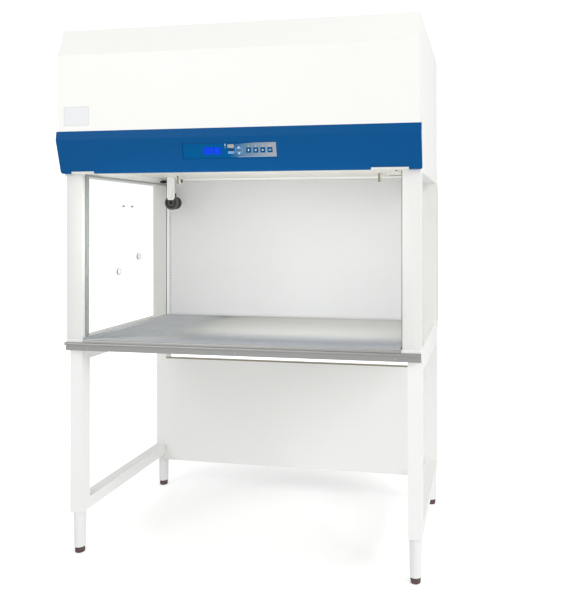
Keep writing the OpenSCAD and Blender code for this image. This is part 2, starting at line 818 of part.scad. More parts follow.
cover_h = ceiling_rise + 3;
module wiring_cover() {
    y = ceiling_y + 2;
    x = tray_x - cover_w;
    color("ivory") seat() {
        difference() {
            translate([x, y, ceil_z - cover_h]) cube([cover_w, cover_d, cover_h]);
            translate([x + sheet, y + sheet, ceil_z - cover_h + sheet])
                cube([cover_w - 2 * sheet, cover_d - 2 * sheet, cover_h]);
        }
        translate([x + cover_w / 2, y, ceil_z - cover_h / 2]) rotate([90, 0, 0])
            cylinder(d1 = 8, d2 = 5, h = 2);
    }
}

// ---- Air system ----
wheel_gap = 8;
scroll_growth = 41;
fan_half = wheel_w / 2 + 10;
fan_y = header_d / 2;
fan_z = deck_z + sheet + wheel_d / 2 + 44;
outlet_d = 130;
// Inner radius of the scroll at an angle in degrees from its tongue
function scroll_r(a) = wheel_d / 2 + wheel_gap + scroll_growth * a / 270;
outlet_y = fan_y - scroll_r(270);
module blower_deck() {
    y = header_y;
    lip = ceil_z + trough_h;
    color("gainsboro") seat() difference() {
        union() {
            translate([-half_w + sheet, y, deck_z])
                cube([cabinet_w - 2 * sheet, header_d - sheet - y, sheet]);
            translate([-half_w + sheet, y, lip])
                cube([cabinet_w - 2 * sheet, sheet, deck_z + sheet - lip]);
        }
        translate([-fan_half + sheet, outlet_y, deck_z - 1])
            cube([2 * (fan_half - sheet), outlet_d, sheet + 2]);
    }
}

// The scroll's outline, grown outwards by a wall
module scroll_outline(wall) {
    polygon([for (a = [0:15:270]) (scroll_r(a) + wall) * [sin(a), -cos(a)]]);
    translate([-scroll_r(270) - wall, deck_z + sheet - fan_z])
        square([outlet_d + 2 * wall, fan_z - deck_z - sheet]);
    circle(r = scroll_r(0) + wall);
}
module blower_housing() {
    color("silver") seat() translate([0, fan_y, fan_z]) difference() {
        across(2 * fan_half) scroll_outline(sheet);
        across(2 * (fan_half - sheet)) scroll_outline(0);
        across(2 * fan_half + 2) circle(d = wheel_d - 60);
        translate([-fan_half + sheet, -scroll_r(270), deck_z - fan_z])
            cube([2 * (fan_half - sheet), outlet_d, 20]);
    }
}

module blower_wheel() {
    blade_w = wheel_w / 2 - 4;
    color("gainsboro") seat() translate([0, fan_y, fan_z]) {
        across(4) circle(d = wheel_d - 20);
        for (s = [-1, 1]) translate([s * (wheel_w / 2 - 2), 0, 0]) across(4) difference() {
            circle(d = wheel_d);
            circle(d = wheel_d - 40);
        }
        for (i = [0:blades - 1]) rotate([i * 360 / blades, 0, 0])
            translate([-wheel_w / 2 + 1, wheel_d / 2 - 19, -1]) rotate([20, 0, 0])
                cube([wheel_w - 2, 16, 2]);
        translate([-40, 0, 0]) rotate([0, 90, 0]) cylinder(d = shaft_d, h = 48);
    }
}

motor_len = wheel_w / 2 - 12;
module blower_motor() {
    arm = 12;
    arm_t = 4;
    color("dimgray") seat() translate([0, fan_y, fan_z]) difference() {
        union() {
            translate([-6 - motor_len, 0, 0]) rotate([0, 90, 0])
                cylinder(d = motor_d, h = motor_len);
            translate([-fan_half - arm_t, 0, 0]) rotate([0, 90, 0])
                cylinder(d = motor_d / 2, h = fan_half + arm_t - motor_len);
            for (a = [0, 120, 240]) rotate([a, 0, 0])
                translate([-fan_half - arm_t, -arm / 2, 0]) cube([arm_t, arm, wheel_d / 2 - 20]);
        }
        translate([-44, 0, 0]) rotate([0, 90, 0]) cylinder(d = shaft_d + 2 * fit, h = 60);
    }
}

module prefilter_frame() {
    bars = 14;
    flange = 12;
    edge = 10;
    pitch = (intake_w - 2 * edge) / bars;
    skirt = prefilter_t + sheet;
    color("gainsboro") seat() translate([0, header_d / 2, top_z]) difference() {
        union() {
            translate([-intake_w / 2 - flange, -intake_d / 2 - flange, 0])
                cube([intake_w + 2 * flange, intake_d + 2 * flange, sheet]);
            translate([-intake_w / 2 + gap, -intake_d / 2 + gap, -skirt])
                cube([intake_w - 2 * gap, intake_d - 2 * gap, skirt + 1]);
        }
        translate([-intake_w / 2 + sheet, -intake_d / 2 + sheet, -prefilter_t])
            cube([intake_w - 2 * sheet, intake_d - 2 * sheet, prefilter_t]);
        translate([-intake_w / 2 + edge, -intake_d / 2 + edge, -skirt - 1])
            cube([intake_w - 2 * edge, intake_d - 2 * edge, sheet + 2]);
        for (i = [0:bars - 1])
            translate([-intake_w / 2 + edge + i * pitch + 4, -intake_d / 2 + edge, -1])
                cube([pitch - 8, intake_d - 2 * edge, sheet + 4]);
    }
}
module prefilter_pad() {
    color("white") seat() translate([0, header_d / 2, top_z - prefilter_t])
        translate([-intake_w / 2 + sheet + gap, -intake_d / 2 + sheet + gap, 0])
            cube([intake_w - 2 * (sheet + gap), intake_d - 2 * (sheet + gap), prefilter_t - gap]);
}

module cable_gland() {
    color([0.1, 0.1, 0.1]) seat() translate([gland_x, header_d, gland_z]) rotate([-90, 0, 0])
        difference() {
            union() {
                cylinder(d = 30, h = 6, $fn = 6);
                translate([0, 0, 6]) cylinder(d1 = 26, d2 = 18, h = 16);
                translate([0, 0, -10]) cylinder(d = gland_d, h = 10);
                translate([0, 0, -sheet - 6]) cylinder(d = 30, h = 6, $fn = 6);
            }
            translate([0, 0, -11]) cylinder(d = 9, h = 40);
        }
}

// ---- Controls ----
board_gap = 6;
board_t = 1.6;
plate_lap = 8;
light_xs = [for (i = [0:3]) key_x + (i - 1.5) * key_pitch];
key_h = panel_t + key_proud + board_gap - key_travel - 0.4;
key_z = -panel_recess + key_proud;

module square_key_shape(grow, z0, z1) {
    w = key_s + 2 * grow;
    translate([-w / 2, -w / 2, z0]) cube([w, w, z1 - z0]);
}
// A blunt arrow head that points up (s = 1) or down (s = -1)
module arrow_shape(s, grow, z0, z1) {
    base = arrow_w / 2 + 2 * grow;
    tip = 3 + grow;
    h = arrow_h / 2 + grow;
    translate([0, 0, z0]) rotate([0, 0, 90 - s * 90]) linear_extrude(z1 - z0)
        polygon([[-base, -h], [base, -h], [tip, h], [-tip, h]]);
}

module control_plate() {
    w = panel_w + 2 * plate_lap;
    h = panel_h + 2 * plate_lap;
    color([0.5, 0.56, 0.62]) seat() on_slope(panel_x, panel_down) difference() {
        translate([-w / 2, -h / 2, -panel_recess - panel_t]) cube([w, h, panel_t]);
        translate([lcd_x - lcd_w / 2, -lcd_h / 2, -20]) cube([lcd_w, lcd_h, 40]);
        for (x = light_xs) translate([x, 0, 0]) {
            square_key_shape(key_clear, -20, 20);
            translate([0, led_up, -20]) cylinder(d = led_d + 2 * fit, h = 40);
        }
        for (s = [-1, 1]) translate([arrow_x, s * arrow_pitch / 2, 0])
            arrow_shape(s, key_clear, -20, 20);
    }
}
module display_window() {
    color([0, 0.2, 1]) seat() on_slope(panel_x, panel_down)
        translate([lcd_x - lcd_w / 2, -lcd_h / 2, -panel_recess - panel_t])
            cube([lcd_w, lcd_h, panel_t]);
}
module indicator_lights() {
    color("lime") seat() on_slope(panel_x, panel_down)
        for (x = light_xs) translate([x, led_up, -panel_recess - panel_t - board_gap])
            cylinder(d = led_d, h = panel_t + board_gap + 0.4);
}
module control_board() {
    w = panel_w - 20;
    h = panel_h - 2;
    color("darkgreen") seat() on_slope(panel_x, panel_down)
        translate([0, 0, -panel_recess - panel_t - board_gap]) {
            translate([-w / 2, -h / 2, -board_t]) cube([w, h, board_t]);
            for (sx = [-1, 1]) for (sy = [-1, 1])
                translate([sx * (w / 2 - 6) - 3, sy * (h / 2 - 6) - 3, -eps])
                    cube([6, 6, board_gap + eps]);
        }
}
module arrow_key(s) {
    color([0.7, 0.8, 0.9]) seat() on_slope(panel_x, panel_down)
        translate([arrow_x, s * arrow_pitch / 2, 0]) arrow_shape(s, 0, key_z - key_h, key_z);
}
module square_key(i) {
    color([0.05, 0.3, 0.5]) seat() on_slope(panel_x, panel_down)
        translate([light_xs[i], 0, 0]) square_key_shape(0, key_z - key_h, key_z);
}
module key_up() { arrow_key(1); }
module key_down() { arrow_key(-1); }
module key_light() { square_key(0); }
module key_fan() { square_key(1); }
module key_lamp() { square_key(2); }
module key_mute() { square_key(3); }

stand_frame_left();
stand_frame_right();
modesty_panel();
leg_clamp_bolts();
inner_leg_front_left();
inner_leg_front_right();
inner_leg_rear_left();
inner_leg_rear_right();
foot_front_left();
foot_front_right();
foot_rear_left();
foot_rear_right();
base_pan();
worktop_tray();
front_apron();
cover_screws();
front_post_left();
front_post_right();
side_glass_left();
side_glass_right();
glass_port_grommets();
glass_studs();
rear_columns();
rear_cover();
rear_diffuser();
filter_frame();
filter_media();
header_shell();
front_cover();
fascia();
fascia_clips();
ceiling_panel();
light_trough();
light_tube();
light_holders();
lampholders();
lampholder_rotor_left();
lampholder_rotor_right();
service_hanger();
service_valve_body();
service_valve_knob();
cable_bush();
wiring_cover();
blower_deck();
blower_housing();
blower_wheel();
blower_motor();
prefilter_frame();
prefilter_pad();
control_plate();
display_window();
indicator_lights();
control_board();
key_up();
key_down();
key_light();
key_fan();
key_lamp();
key_mute();
cable_gland();
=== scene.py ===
"""Looks of a laminar flow hood: a clean bench with a fan header on a telescopic stand.

Lengths are metres in the part's own frame: X right, Y back, Z up, floor at Z = 0.
Sizes given in millimetres are marked as such by the mm() helper.
"""
import logging
import math
from dataclasses import dataclass, field
from enum import Enum
from typing import Callable, Sequence

import bmesh
import bpy
import numpy as np
from mathutils import Matrix, Vector
from mathutils.geometry import delaunay_2d_cdt


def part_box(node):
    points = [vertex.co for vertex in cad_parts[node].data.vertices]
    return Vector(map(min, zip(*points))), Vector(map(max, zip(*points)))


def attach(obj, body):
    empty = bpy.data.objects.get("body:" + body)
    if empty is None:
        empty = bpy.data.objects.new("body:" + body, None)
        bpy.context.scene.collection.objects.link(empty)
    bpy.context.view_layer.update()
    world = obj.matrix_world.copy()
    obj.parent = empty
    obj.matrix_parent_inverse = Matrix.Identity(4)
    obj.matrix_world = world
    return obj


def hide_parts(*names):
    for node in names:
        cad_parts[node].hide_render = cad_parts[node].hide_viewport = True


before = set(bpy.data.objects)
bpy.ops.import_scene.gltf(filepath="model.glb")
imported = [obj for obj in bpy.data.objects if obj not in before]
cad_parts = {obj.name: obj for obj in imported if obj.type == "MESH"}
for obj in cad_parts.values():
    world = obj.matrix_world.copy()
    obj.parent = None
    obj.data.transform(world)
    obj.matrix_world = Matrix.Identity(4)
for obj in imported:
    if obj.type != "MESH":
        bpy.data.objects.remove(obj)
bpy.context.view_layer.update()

log = logging.getLogger("laminar_flow_hood")
Point = tuple[float, float]
ROOT = "cabinet"

# Edges flatter than these angles, in degrees, are shaded smooth.
SMOOTH_CAP = 30.0
SMOOTH_TURNED = 35.0
SMOOTH_MOULDED = 40.0
SMOOTH_FOLDED = 50.0
# A merged copy joins corners closer than this, and faces within this angle of one plane.
MERGE_REACH = 1e-5
FLAT_DEG = 0.5
# Folds sharper than this angle are rounded, at the first of these shares that fits.
FOLD_DEG = 25.0
FOLD_SEGMENTS = 3
FOLD_SHARES = (1.0, 0.6, 0.35)
# Outline corners closer than this are one; a turned point nearer than this is on the axis.
CORNER_REACH = 1e-6
AXIS_REACH = 1e-7
# A face is sound where its triangles' area differs by less than this, plus this share.
AREA_SLACK = 1e-7
AREA_SHARE = 0.002
WHITE_LIGHT = (1.0, 1.0, 1.0, 1.0)


def mm(value: float) -> float:
    """Returns a length in millimetres as metres."""
    return value / 1000.0


def points_mm(*points: Point) -> list[Point]:
    """Returns points given in millimetres as metres."""
    return [(mm(x), mm(y)) for x, y in points]


# ---------------------------------------------------------------- node trees
def linear(code: str, alpha: float = 1.0) -> tuple[float, float, float, float]:
    """Turns an sRGB hex colour into linear RGBA.

    Args:
        code: six hex digits, such as "e8e8e4".
        alpha: the opacity to append.

    Returns:
        The colour as four linear values.
    """
    raw = [int(code[i:i + 2], 16) / 255 for i in (0, 2, 4)]
    out = [c / 12.92 if c <= 0.04045 else ((c + 0.055) / 1.055) ** 2.4 for c in raw]
    return out[0], out[1], out[2], alpha


def add_node(tree: bpy.types.NodeTree, kind: str, values: dict | None = None,
             links: dict | None = None, **settings: object) -> bpy.types.Node:
    """Adds a node to a tree with its settings, socket values and incoming links.

    Args:
        tree: the shader or geometry node tree.
        kind: the node's type name.
        values: socket name or index to default value.
        links: socket name or index to the output socket that feeds it.
        **settings: attributes set on the node itself.

    Returns:
        The new node.
    """
    node = tree.nodes.new(kind)
    for name, value in settings.items():
        setattr(node, name, value)
    for key, value in (values or {}).items():
        node.inputs[key].default_value = value
    for key, source in (links or {}).items():
        tree.links.new(source, node.inputs[key])
    return node


@dataclass(frozen=True)
class Finish:
    """A plain surface: colour, gloss and a fine grain worked out from its real size."""

    name: str
    colour: str
    roughness: float = 0.5
    metallic: float = 0.0
    ior: float = 1.5
    coat: float = 0.0
    grain_mm: float = 2.0
    bump_mm: float = 0.02
    rough_span: float = 0.08
    tint_span: float = 0.02
    stretch: tuple[float, float, float] = (1.0, 1.0, 1.0)
    alpha: float = 1.0
    glow: float = 0.0

    def material(self) -> bpy.types.Material:
        """Builds the material unless it already exists.

        Returns:
            The material.
        """
        known = bpy.data.materials.get(self.name)
        if known:
            return known
        mat = bpy.data.materials.new(self.name)
        mat.use_nodes = True
        tree = mat.node_tree
        shader = tree.nodes["Principled BSDF"]
        shader.inputs["Metallic"].default_value = self.metallic
        if not self.metallic:
            shader.inputs["IOR"].default_value = self.ior
        shader.inputs["Coat Weight"].default_value = self.coat
        shader.inputs["Alpha"].default_value = self.alpha
        noise = self.grain(tree)
        self.colour_of(tree, shader, noise)
        low, high = self.roughness - self.rough_span / 2, self.roughness + self.rough_span / 2
        rough = add_node(tree, "ShaderNodeMapRange", {"To Min": max(low, 0.02), "To Max": high},
                         {"Value": noise.outputs[0]})
        tree.links.new(rough.outputs["Result"], shader.inputs["Roughness"])
        bump = add_node(tree, "ShaderNodeBump", {"Strength": 1.0, "Distance": mm(self.bump_mm)},
                        {"Height": noise.outputs[0]})
        tree.links.new(bump.outputs["Normal"], shader.inputs["Normal"])
        if self.glow:
            shader.inputs["Emission Color"].default_value = linear(self.colour)
            shader.inputs["Emission Strength"].default_value = self.glow
        return mat

    def grain(self, tree: bpy.types.NodeTree) -> bpy.types.Node:
        """Adds the noise that carries the grain.

        Args:
            tree: the material's node tree.

        Returns:
            The noise node, whose first output is the grain's height.
        """
        place = add_node(tree, "ShaderNodeTexCoord")
        turn = add_node(tree, "ShaderNodeMapping", {"Scale": self.stretch},
                        {"Vector": place.outputs["Object"]})
        return add_node(tree, "ShaderNodeTexNoise",
                        {"Scale": 1 / mm(self.grain_mm), "Detail": 2.0, "Roughness": 0.5},
                        {"Vector": turn.outputs["Vector"]})

    def colour_of(self, tree: bpy.types.NodeTree, shader: bpy.types.Node,
                  noise: bpy.types.Node) -> None:
        """Links a colour that varies a little with the grain.

        Args:
            tree: the material's node tree.
            shader: the surface shader.
            noise: the grain.
        """
        base = linear(self.colour)
        ramp = add_node(tree, "ShaderNodeValToRGB", None, {"Fac": noise.outputs[0]})
        for stop, gain in zip(ramp.color_ramp.elements, (1 - self.tint_span, 1 + self.tint_span)):
            stop.color = [min(c * gain, 1.0) for c in base[:3]] + [1.0]
        tree.links.new(ramp.outputs["Color"], shader.inputs["Base Color"])


@dataclass(frozen=True)
class PowderCoat(Finish):
    """Sprayed polyester baked on steel: orange peel about 2.5 mm across, satin gloss."""

    roughness: float = 0.38
    grain_mm: float = 2.5
    bump_mm: float = 0.015


@dataclass(frozen=True)
class BrushedStainless(Finish):
    """Stainless sheet with a number 4 finish: its scratches run along X.

    Real scratches are under 0.3 mm wide; they are drawn at 0.9 mm so that they show.
    """

    roughness: float = 0.42
    metallic: float = 1.0
    grain_mm: float = 0.9
    bump_mm: float = 0.006
    rough_span: float = 0.2
    tint_span: float = 0.1
    stretch: tuple[float, float, float] = (0.02, 1.0, 1.0)


@dataclass(frozen=True)
class Moulding(Finish):
    """Moulded plastic: spark-eroded texture about 0.5 mm, drawn at 1 mm so that it shows."""

    grain_mm: float = 1.0
    bump_mm: float = 0.02


@dataclass(frozen=True)
class OverlayInk(Finish):
    """Ink screen-printed under a clear polyester film with a texture of about 0.8 mm."""

    roughness: float = 0.4
    grain_mm: float = 0.8
    bump_mm: float = 0.006


@dataclass(frozen=True)
class SilverSweep(OverlayInk):
    """Silver ink that fades into the blue towards the left, on its own X."""

    fade_from: float = 0.0
    fade_to: float = 0.05
    ground: str = "0f5a8c"
    halftone: str = "55799a"
    halftone_at: float = 0.22

    def colour_of(self, tree: bpy.types.NodeTree, shader: bpy.types.Node,
                  noise: bpy.types.Node) -> None:
        """Links the fade from blue to silver.

        Args:
            tree: the material's node tree.
            shader: the surface shader.
            noise: the grain, unused here.
        """
        place = add_node(tree, "ShaderNodeTexCoord")
        split = add_node(tree, "ShaderNodeSeparateXYZ", None, {"Vector": place.outputs["Object"]})
        run = add_node(tree, "ShaderNodeMapRange",
                       {"From Min": self.fade_from, "From Max": self.fade_to},
                       {"Value": split.outputs["X"]})
        ramp = add_node(tree, "ShaderNodeValToRGB", None, {"Fac": run.outputs["Result"]})
        ramp.color_ramp.elements[0].color = linear(self.ground)
        ramp.color_ramp.elements[1].color = linear(self.colour)
        middle = ramp.color_ramp.elements.new(self.halftone_at)
        middle.color = linear(self.halftone)
        tree.links.new(ramp.outputs["Color"], shader.inputs["Base Color"])


@dataclass(frozen=True)
class Lens(Finish):
    """Clear or tinted epoxy, moulded smooth."""

    roughness: float = 0.2
    grain_mm: float = 1.5
    bump_mm: float = 0.004


# The cabinet and the stand are sprayed apart, so their whites differ a little.
WHITE_COAT = PowderCoat("white_powder_coat", "f1f1ee")
# Painted shade: the posts and rear columns get a darker copy of the same white, so that their
# edges show.
POST_SHADE_COAT = PowderCoat("white_powder_coat_posts_painted_shade", "e3e3e0")
STAND_COAT = PowderCoat("white_powder_coat_stand", "f0f0ee", 0.42, bump_mm=0.02)
LEG_COAT = PowderCoat("inner_leg_enamel", "e9eae9", 0.35)
BLUE_COAT = PowderCoat("blue_powder_coat", "00508a", 0.42, ior=1.2, grain_mm=2.2,
                       tint_span=0.04)
# Stove enamel on the inside panels: smoother than the outside, slightly warm.
CEILING_ENAMEL = Finish("warm_white_enamel", "f3f1e8", 0.35, grain_mm=4, bump_mm=0.01)
DIFFUSER_ENAMEL = Finish("perforated_sheet_enamel", "f5f5f4", 0.45, grain_mm=3, bump_mm=0.01)
WORKTOP_STEEL = BrushedStainless("brushed_stainless_worktop", "e0e2e5", 0.22,
                                 rough_span=0.12, tint_span=0.06)
# Painted shade: a darker copy of the worktop steel for the tray's bead, in place of its bright
# reflection.
BEAD_SHADE_STEEL = BrushedStainless("brushed_stainless_bead_painted_shade", "b6b6b4")
APRON_STEEL = BrushedStainless("brushed_stainless_apron", "a9a9a8")
# Bright zinc plating on small steel parts: even and fairly glossy.
ZINC = Finish("bright_zinc_plating", "b4b8bb", 0.3, 1.0, grain_mm=1.2, bump_mm=0.004)
CLIP_METAL = Finish("clear_coated_clip", "dadad4", 0.35, grain_mm=1.5, bump_mm=0.006)
# Hot-dip galvanised sheet: spangle about 12 mm across, drawn as soft grey patches.
GALVANISED = Finish("galvanised_sheet", "a7acae", 0.42, 1.0, grain_mm=12, bump_mm=0.004,
                    rough_span=0.2, tint_span=0.12)
# Extruded aluminium as it leaves the mill: die lines about 3 mm apart along X.
MILL_ALUMINIUM = Finish("mill_finish_aluminium", "c2c5c7", 0.38, 1.0, grain_mm=3,
                        bump_mm=0.004, stretch=(0.05, 1.0, 1.0))
MOTOR_ENAMEL = Finish("motor_enamel", "2c2e30", 0.5, grain_mm=1.5, bump_mm=0.05)
# Mini-pleat glass paper: pleats 3 mm apart, drawn as an upright ripple.
FILTER_PAPER = Finish("pleated_glass_paper", "eceeee", 0.85, grain_mm=3, bump_mm=0.4,
                      stretch=(1.0, 1.0, 0.02))
# Bonded polyester fibre: matt, with tufts about 1 mm across.
PAD_FIBRE = Finish("polyester_pad", "dfe2e3", 0.95, grain_mm=1.0, bump_mm=0.5, tint_span=0.06)
GREY_PLASTIC = Moulding("grey_nylon", "f0f0ee", 0.45)
BLACK_PLASTIC = Moulding("black_nylon", "1b1b1b")
WHITE_PLASTIC = Moulding("white_polycarbonate", "e6e5df", 0.3, grain_mm=1.5, bump_mm=0.01)
# Taupe: the wiring cover's screw boss, plus painted shade on the lampholders' fronts and the
# cover's underside.
TAUPE_AND_SHADE_PLASTIC = Moulding("taupe_and_painted_shade", "968e7c", 0.4, grain_mm=1.5, bump_mm=0.01)
ROTOR_PLASTIC = Moulding("dark_grey_rotor", "5f5856", 0.4, bump_mm=0.01)
VALVE_PLASTIC = Moulding("dark_grey_phenolic", "4c4c46", 0.38, grain_mm=1.5, tint_span=0.08)
# The knob's hollow and groove lie between its ribs, where little light gets in.
KNOB_HOLLOW = Moulding("knob_hollow", "1c1b18", 0.6)
KNOB_GROOVE = Moulding("knob_groove", "35342f")
# Rubber: matt, with the fine grain of its mould. The painted shade strip below is smoother.
FOOT_RUBBER = Finish("red_brown_rubber", "5c4645", 0.6, grain_mm=0.8, bump_mm=0.05,
                     tint_span=0.1)
BUSH_RUBBER = Finish("black_rubber", "141414", 0.6, grain_mm=0.8, bump_mm=0.04)
# Painted shade: a beige-brown strip along the rear panel's top edge, which lies in shadow under
# the base.
TOP_EDGE_SHADE = Finish("beige_painted_shade_strip", "8f8870", 0.5, grain_mm=2.0, bump_mm=0.01)
LAMP_PHOSPHOR = Finish("phosphor_coated_glass", "f3f5f6", 0.15, grain_mm=4, bump_mm=0.002)
# Float glass: almost clear through its face, bottle green along its cut edges.
GLASS_FACE = Finish("float_glass_face", "4f6459", 0.04, grain_mm=60, bump_mm=0.0005,
                    rough_span=0.0, alpha=0.11)
GLASS_EDGE = Finish("float_glass_edge", "86a198", 0.12, grain_mm=3, bump_mm=0.01,
                    tint_span=0.15)
INK_BLUE = OverlayInk("overlay_blue_ink", "005790", ior=1.12)
INK_SILVER = SilverSweep("overlay_silver_fade", "a6abb0", ior=1.3, fade_from=0.005,
                         fade_to=0.175)
# Dark ink for the printed block. The same ink draws a painted shade line along the overlay's top
# and left edges.
INK_DARK_AND_SHADE = OverlayInk("overlay_dark_ink_and_painted_shade", "063a66", ior=1.25)
INK_WHITE = OverlayInk("overlay_white_ink", "eef3f7")
INK_SKY = OverlayInk("overlay_sky_ink", "6aa3cf")
INK_TAN = OverlayInk("overlay_tan_ink", "aba59b", 0.45)
INK_ORANGE = OverlayInk("overlay_orange_ink", "c77c3c", 0.45)
# Painted highlight: a pale strip along the silver sweep's lower and right edges, where light
# catches them.
INK_HIGHLIGHT = OverlayInk("overlay_painted_highlight_ink", "c3c6c9")
INK_GREY = OverlayInk("overlay_grey_ink", "8d97a1")
# Key caps of filled silicone: a little duller than the film round them.
KEY_SKY = Finish("key_sky_blue", "5c9bc9", 0.4, ior=1.35, grain_mm=1.0, bump_mm=0.008)
KEY_BLUE = Finish("key_dark_blue", "005288", 0.4, ior=1.15, grain_mm=1.0, bump_mm=0.008)
# Backlit liquid crystal display: smooth glass that shines by itself.
LCD_GLOW = Finish("lcd_blue_backlight", "0036c6", 0.2, ior=1.2, grain_mm=3,
                  bump_mm=0.002, tint_span=0.03, glow=0.3)
LCD_INK = Finish("lcd_segments", "0c4acb", 0.3, ior=1.2, grain_mm=1.0, bump_mm=0.002,
                 glow=0.3)
LED_GREEN = Lens("led_green_lens", "8cc08a", glow=0.15)
LED_BLUE = Lens("led_clear_lens", "a9c3d8")
LED_AMBER = Lens("led_yellow_lens", "cfc277", glow=0.15)
# Solder resist over copper: soft blotches where tracks run below it.
BOARD_GREEN = Finish("circuit_board_resist", "1d5a34", 0.4, grain_mm=2, bump_mm=0.03,
                     tint_span=0.15)
# Polyester label film, left blank, with a paler field inside its margin.
BLANK_LABEL = Finish("blank_label_film", "d9dadb", 0.35, grain_mm=1.0, bump_mm=0.006)
BLANK_FIELD = Finish("blank_label_field", "e6e7e8", 0.4, grain_mm=1.0, bump_mm=0.004)


# ---------------------------------------------------------------- meshes
def piece(name: str, bm: bmesh.types.BMesh, finishes: Sequence[Finish], body: str,
          smooth_deg: float = 0.0) -> bpy.types.Object:
    """Makes a finished piece of a bmesh and lets it ride on a body.

    Args:
        name: the piece's name.
        bm: the mesh, which is freed here.
        finishes: one finish per material index.
        body: the body that carries the piece.
        smooth_deg: edges flatter than this are smooth; 0 keeps the faces flat.

    Returns:
        The new object.
    """
    mesh = bpy.data.meshes.new(name)
    bm.to_mesh(mesh)
    bm.free()
    if smooth_deg:
        mesh.shade_smooth()
        mesh.set_sharp_from_angle(angle=math.radians(smooth_deg))
    for finish in finishes:
        mesh.materials.append(finish.material())
    obj = bpy.data.objects.new(name, mesh)
    bpy.context.scene.collection.objects.link(obj)
    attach(obj, body)
    log.info("%s: %d faces on %s", name, len(mesh.polygons), body)
    return obj


def cad_copy(node: str) -> bmesh.types.BMesh:
    """Copies a CAD node's mesh with its corners merged and its flat triangles joined.

    Args:
        node: the CAD node.

    Returns:
        The copy, which the caller frees.
    """
    bm = bmesh.new()
    bm.from_mesh(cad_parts[node].data)
    bmesh.ops.remove_doubles(bm, verts=bm.verts, dist=MERGE_REACH)
    bmesh.ops.dissolve_limit(bm, angle_limit=math.radians(FLAT_DEG), verts=bm.verts,
                             edges=bm.edges, use_dissolve_boundaries=False)
    return bm


def rounded(bm: bmesh.types.BMesh, radius: float, shortest: float = mm(15),
            narrowest: float = mm(3)) -> None:
    """Rounds the long outer folds of a closed mesh and leaves the cut rims of its sheet.

    Args:
        bm: the mesh.
        radius: how far the rounding reaches from each fold.
        shortest: shorter edges are left.
        narrowest: edges of faces that are narrower than this are left.
    """
    folds = []
    for edge in bm.edges:
        if len(edge.link_faces) != 2 or edge.calc_length() < shortest:
            continue
        if not edge.is_convex or edge.calc_face_angle() < math.radians(FOLD_DEG):
            continue
        if all(2 * f.calc_area() / f.calc_perimeter() > narrowest for f in edge.link_faces):
            folds.append(edge)
    bmesh.ops.bevel(bm, geom=folds, offset=radius, segments=FOLD_SEGMENTS, profile=0.5,
                    affect="EDGES", clamp_overlap=False)


def box(bm: bmesh.types.BMesh, low: Sequence[float], high: Sequence[float],
        index: int = 0) -> None:
    """Adds a box between two corners.

    Args:
        bm: the mesh to add to.
        low: the lowest corner.
        high: the highest corner.
        index: the material index of its faces.
    """
    made = bmesh.ops.create_cube(bm, size=1.0)["verts"]
    for v in made:
        v.co = Vector([low[i] + (v.co[i] + 0.5) * (high[i] - low[i]) for i in range(3)])
    for face in {f for v in made for f in v.link_faces}:
        face.material_index = index


def loft(bm: bmesh.types.BMesh, outlines: Sequence[tuple[Sequence[Point], float]],
         place: Matrix, index: int = 0) -> None:
    """Adds a closed shape through outlines of the same number of points.

    Args:
        bm: the mesh to add to.
        outlines: (corners anticlockwise, height) from the back to the front.
        place: takes the shape's frame to the part's frame.
        index: the material index of its faces.
    """
    rings = [[bm.verts.new(place @ Vector((x, y, height))) for x, y in points]
             for points, height in outlines]
    faces = [bm.faces.new(rings[-1]), bm.faces.new(rings[0][::-1])]
    count = len(rings[0])
    for low, high in zip(rings, rings[1:]):
        for i in range(count):
            j = (i + 1) % count
            faces.append(bm.faces.new((low[i], low[j], high[j], high[i])))
    for face in faces:
        face.material_index = index


def inside(point: Point, outline: Sequence[Point]) -> bool:
    """Tells whether a point lies inside an outline.

    Args:
        point: the point.
        outline: the outline's corners.

    Returns:
        True if it does.
    """
    x, y = point
    hit = False
    for (x0, y0), (x1, y1) in zip(outline, list(outline[1:]) + [outline[0]]):
        if (y0 > y) != (y1 > y) and x < (x1 - x0) * (y - y0) / (y1 - y0) + x0:
            hit = not hit
    return hit


def inlay(bm: bmesh.types.BMesh, outline: Sequence[Point], holes: Sequence[Sequence[Point]],
          low: float, high: float, place: Matrix, index: int = 0) -> None:
    """Adds a flat shape with thickness and holes through it.

    Args:
        bm: the mesh to add to.
        outline: the shape's corners.
        holes: the holes' corners.
        low: the height of its back.
        high: the height of its front.
        place: takes the shape's frame to the part's frame.
        index: the material index of its faces.
    """
    points: list[Vector] = []
    edges: list[tuple[int, int]] = []
    for loop in [outline, *holes]:
        start = len(points)
        points += [Vector(q) for q in loop]
        edges += [(start + i, start + (i + 1) % len(loop)) for i in range(len(loop))]
    flat, _, cells, *_ = delaunay_2d_cdt(points, edges, [], 0, CORNER_REACH)
    kept = []
    for cell in cells:
        x, y = (sum(flat[i][k] for i in cell) / len(cell) for k in (0, 1))
        if inside((x, y), outline) and not any(inside((x, y), hole) for hole in holes):
            kept.append(list(cell))
    used = sorted({i for cell in kept for i in cell})
    back = {i: bm.verts.new(place @ Vector((*flat[i], low))) for i in used}
    front = {i: bm.verts.new(place @ Vector((*flat[i], high))) for i in used}
    sides = {(a, b) for cell in kept for a, b in zip(cell, cell[1:] + cell[:1])}
    faces = []
    for cell in kept:
        faces.append(bm.faces.new([front[i] for i in cell]))
        faces.append(bm.faces.new([back[i] for i in cell[::-1]]))
    for a, b in sides:
        if (b, a) not in sides:
            faces.append(bm.faces.new((back[a], back[b], front[b], front[a])))
    for face in faces:
        face.material_index = index


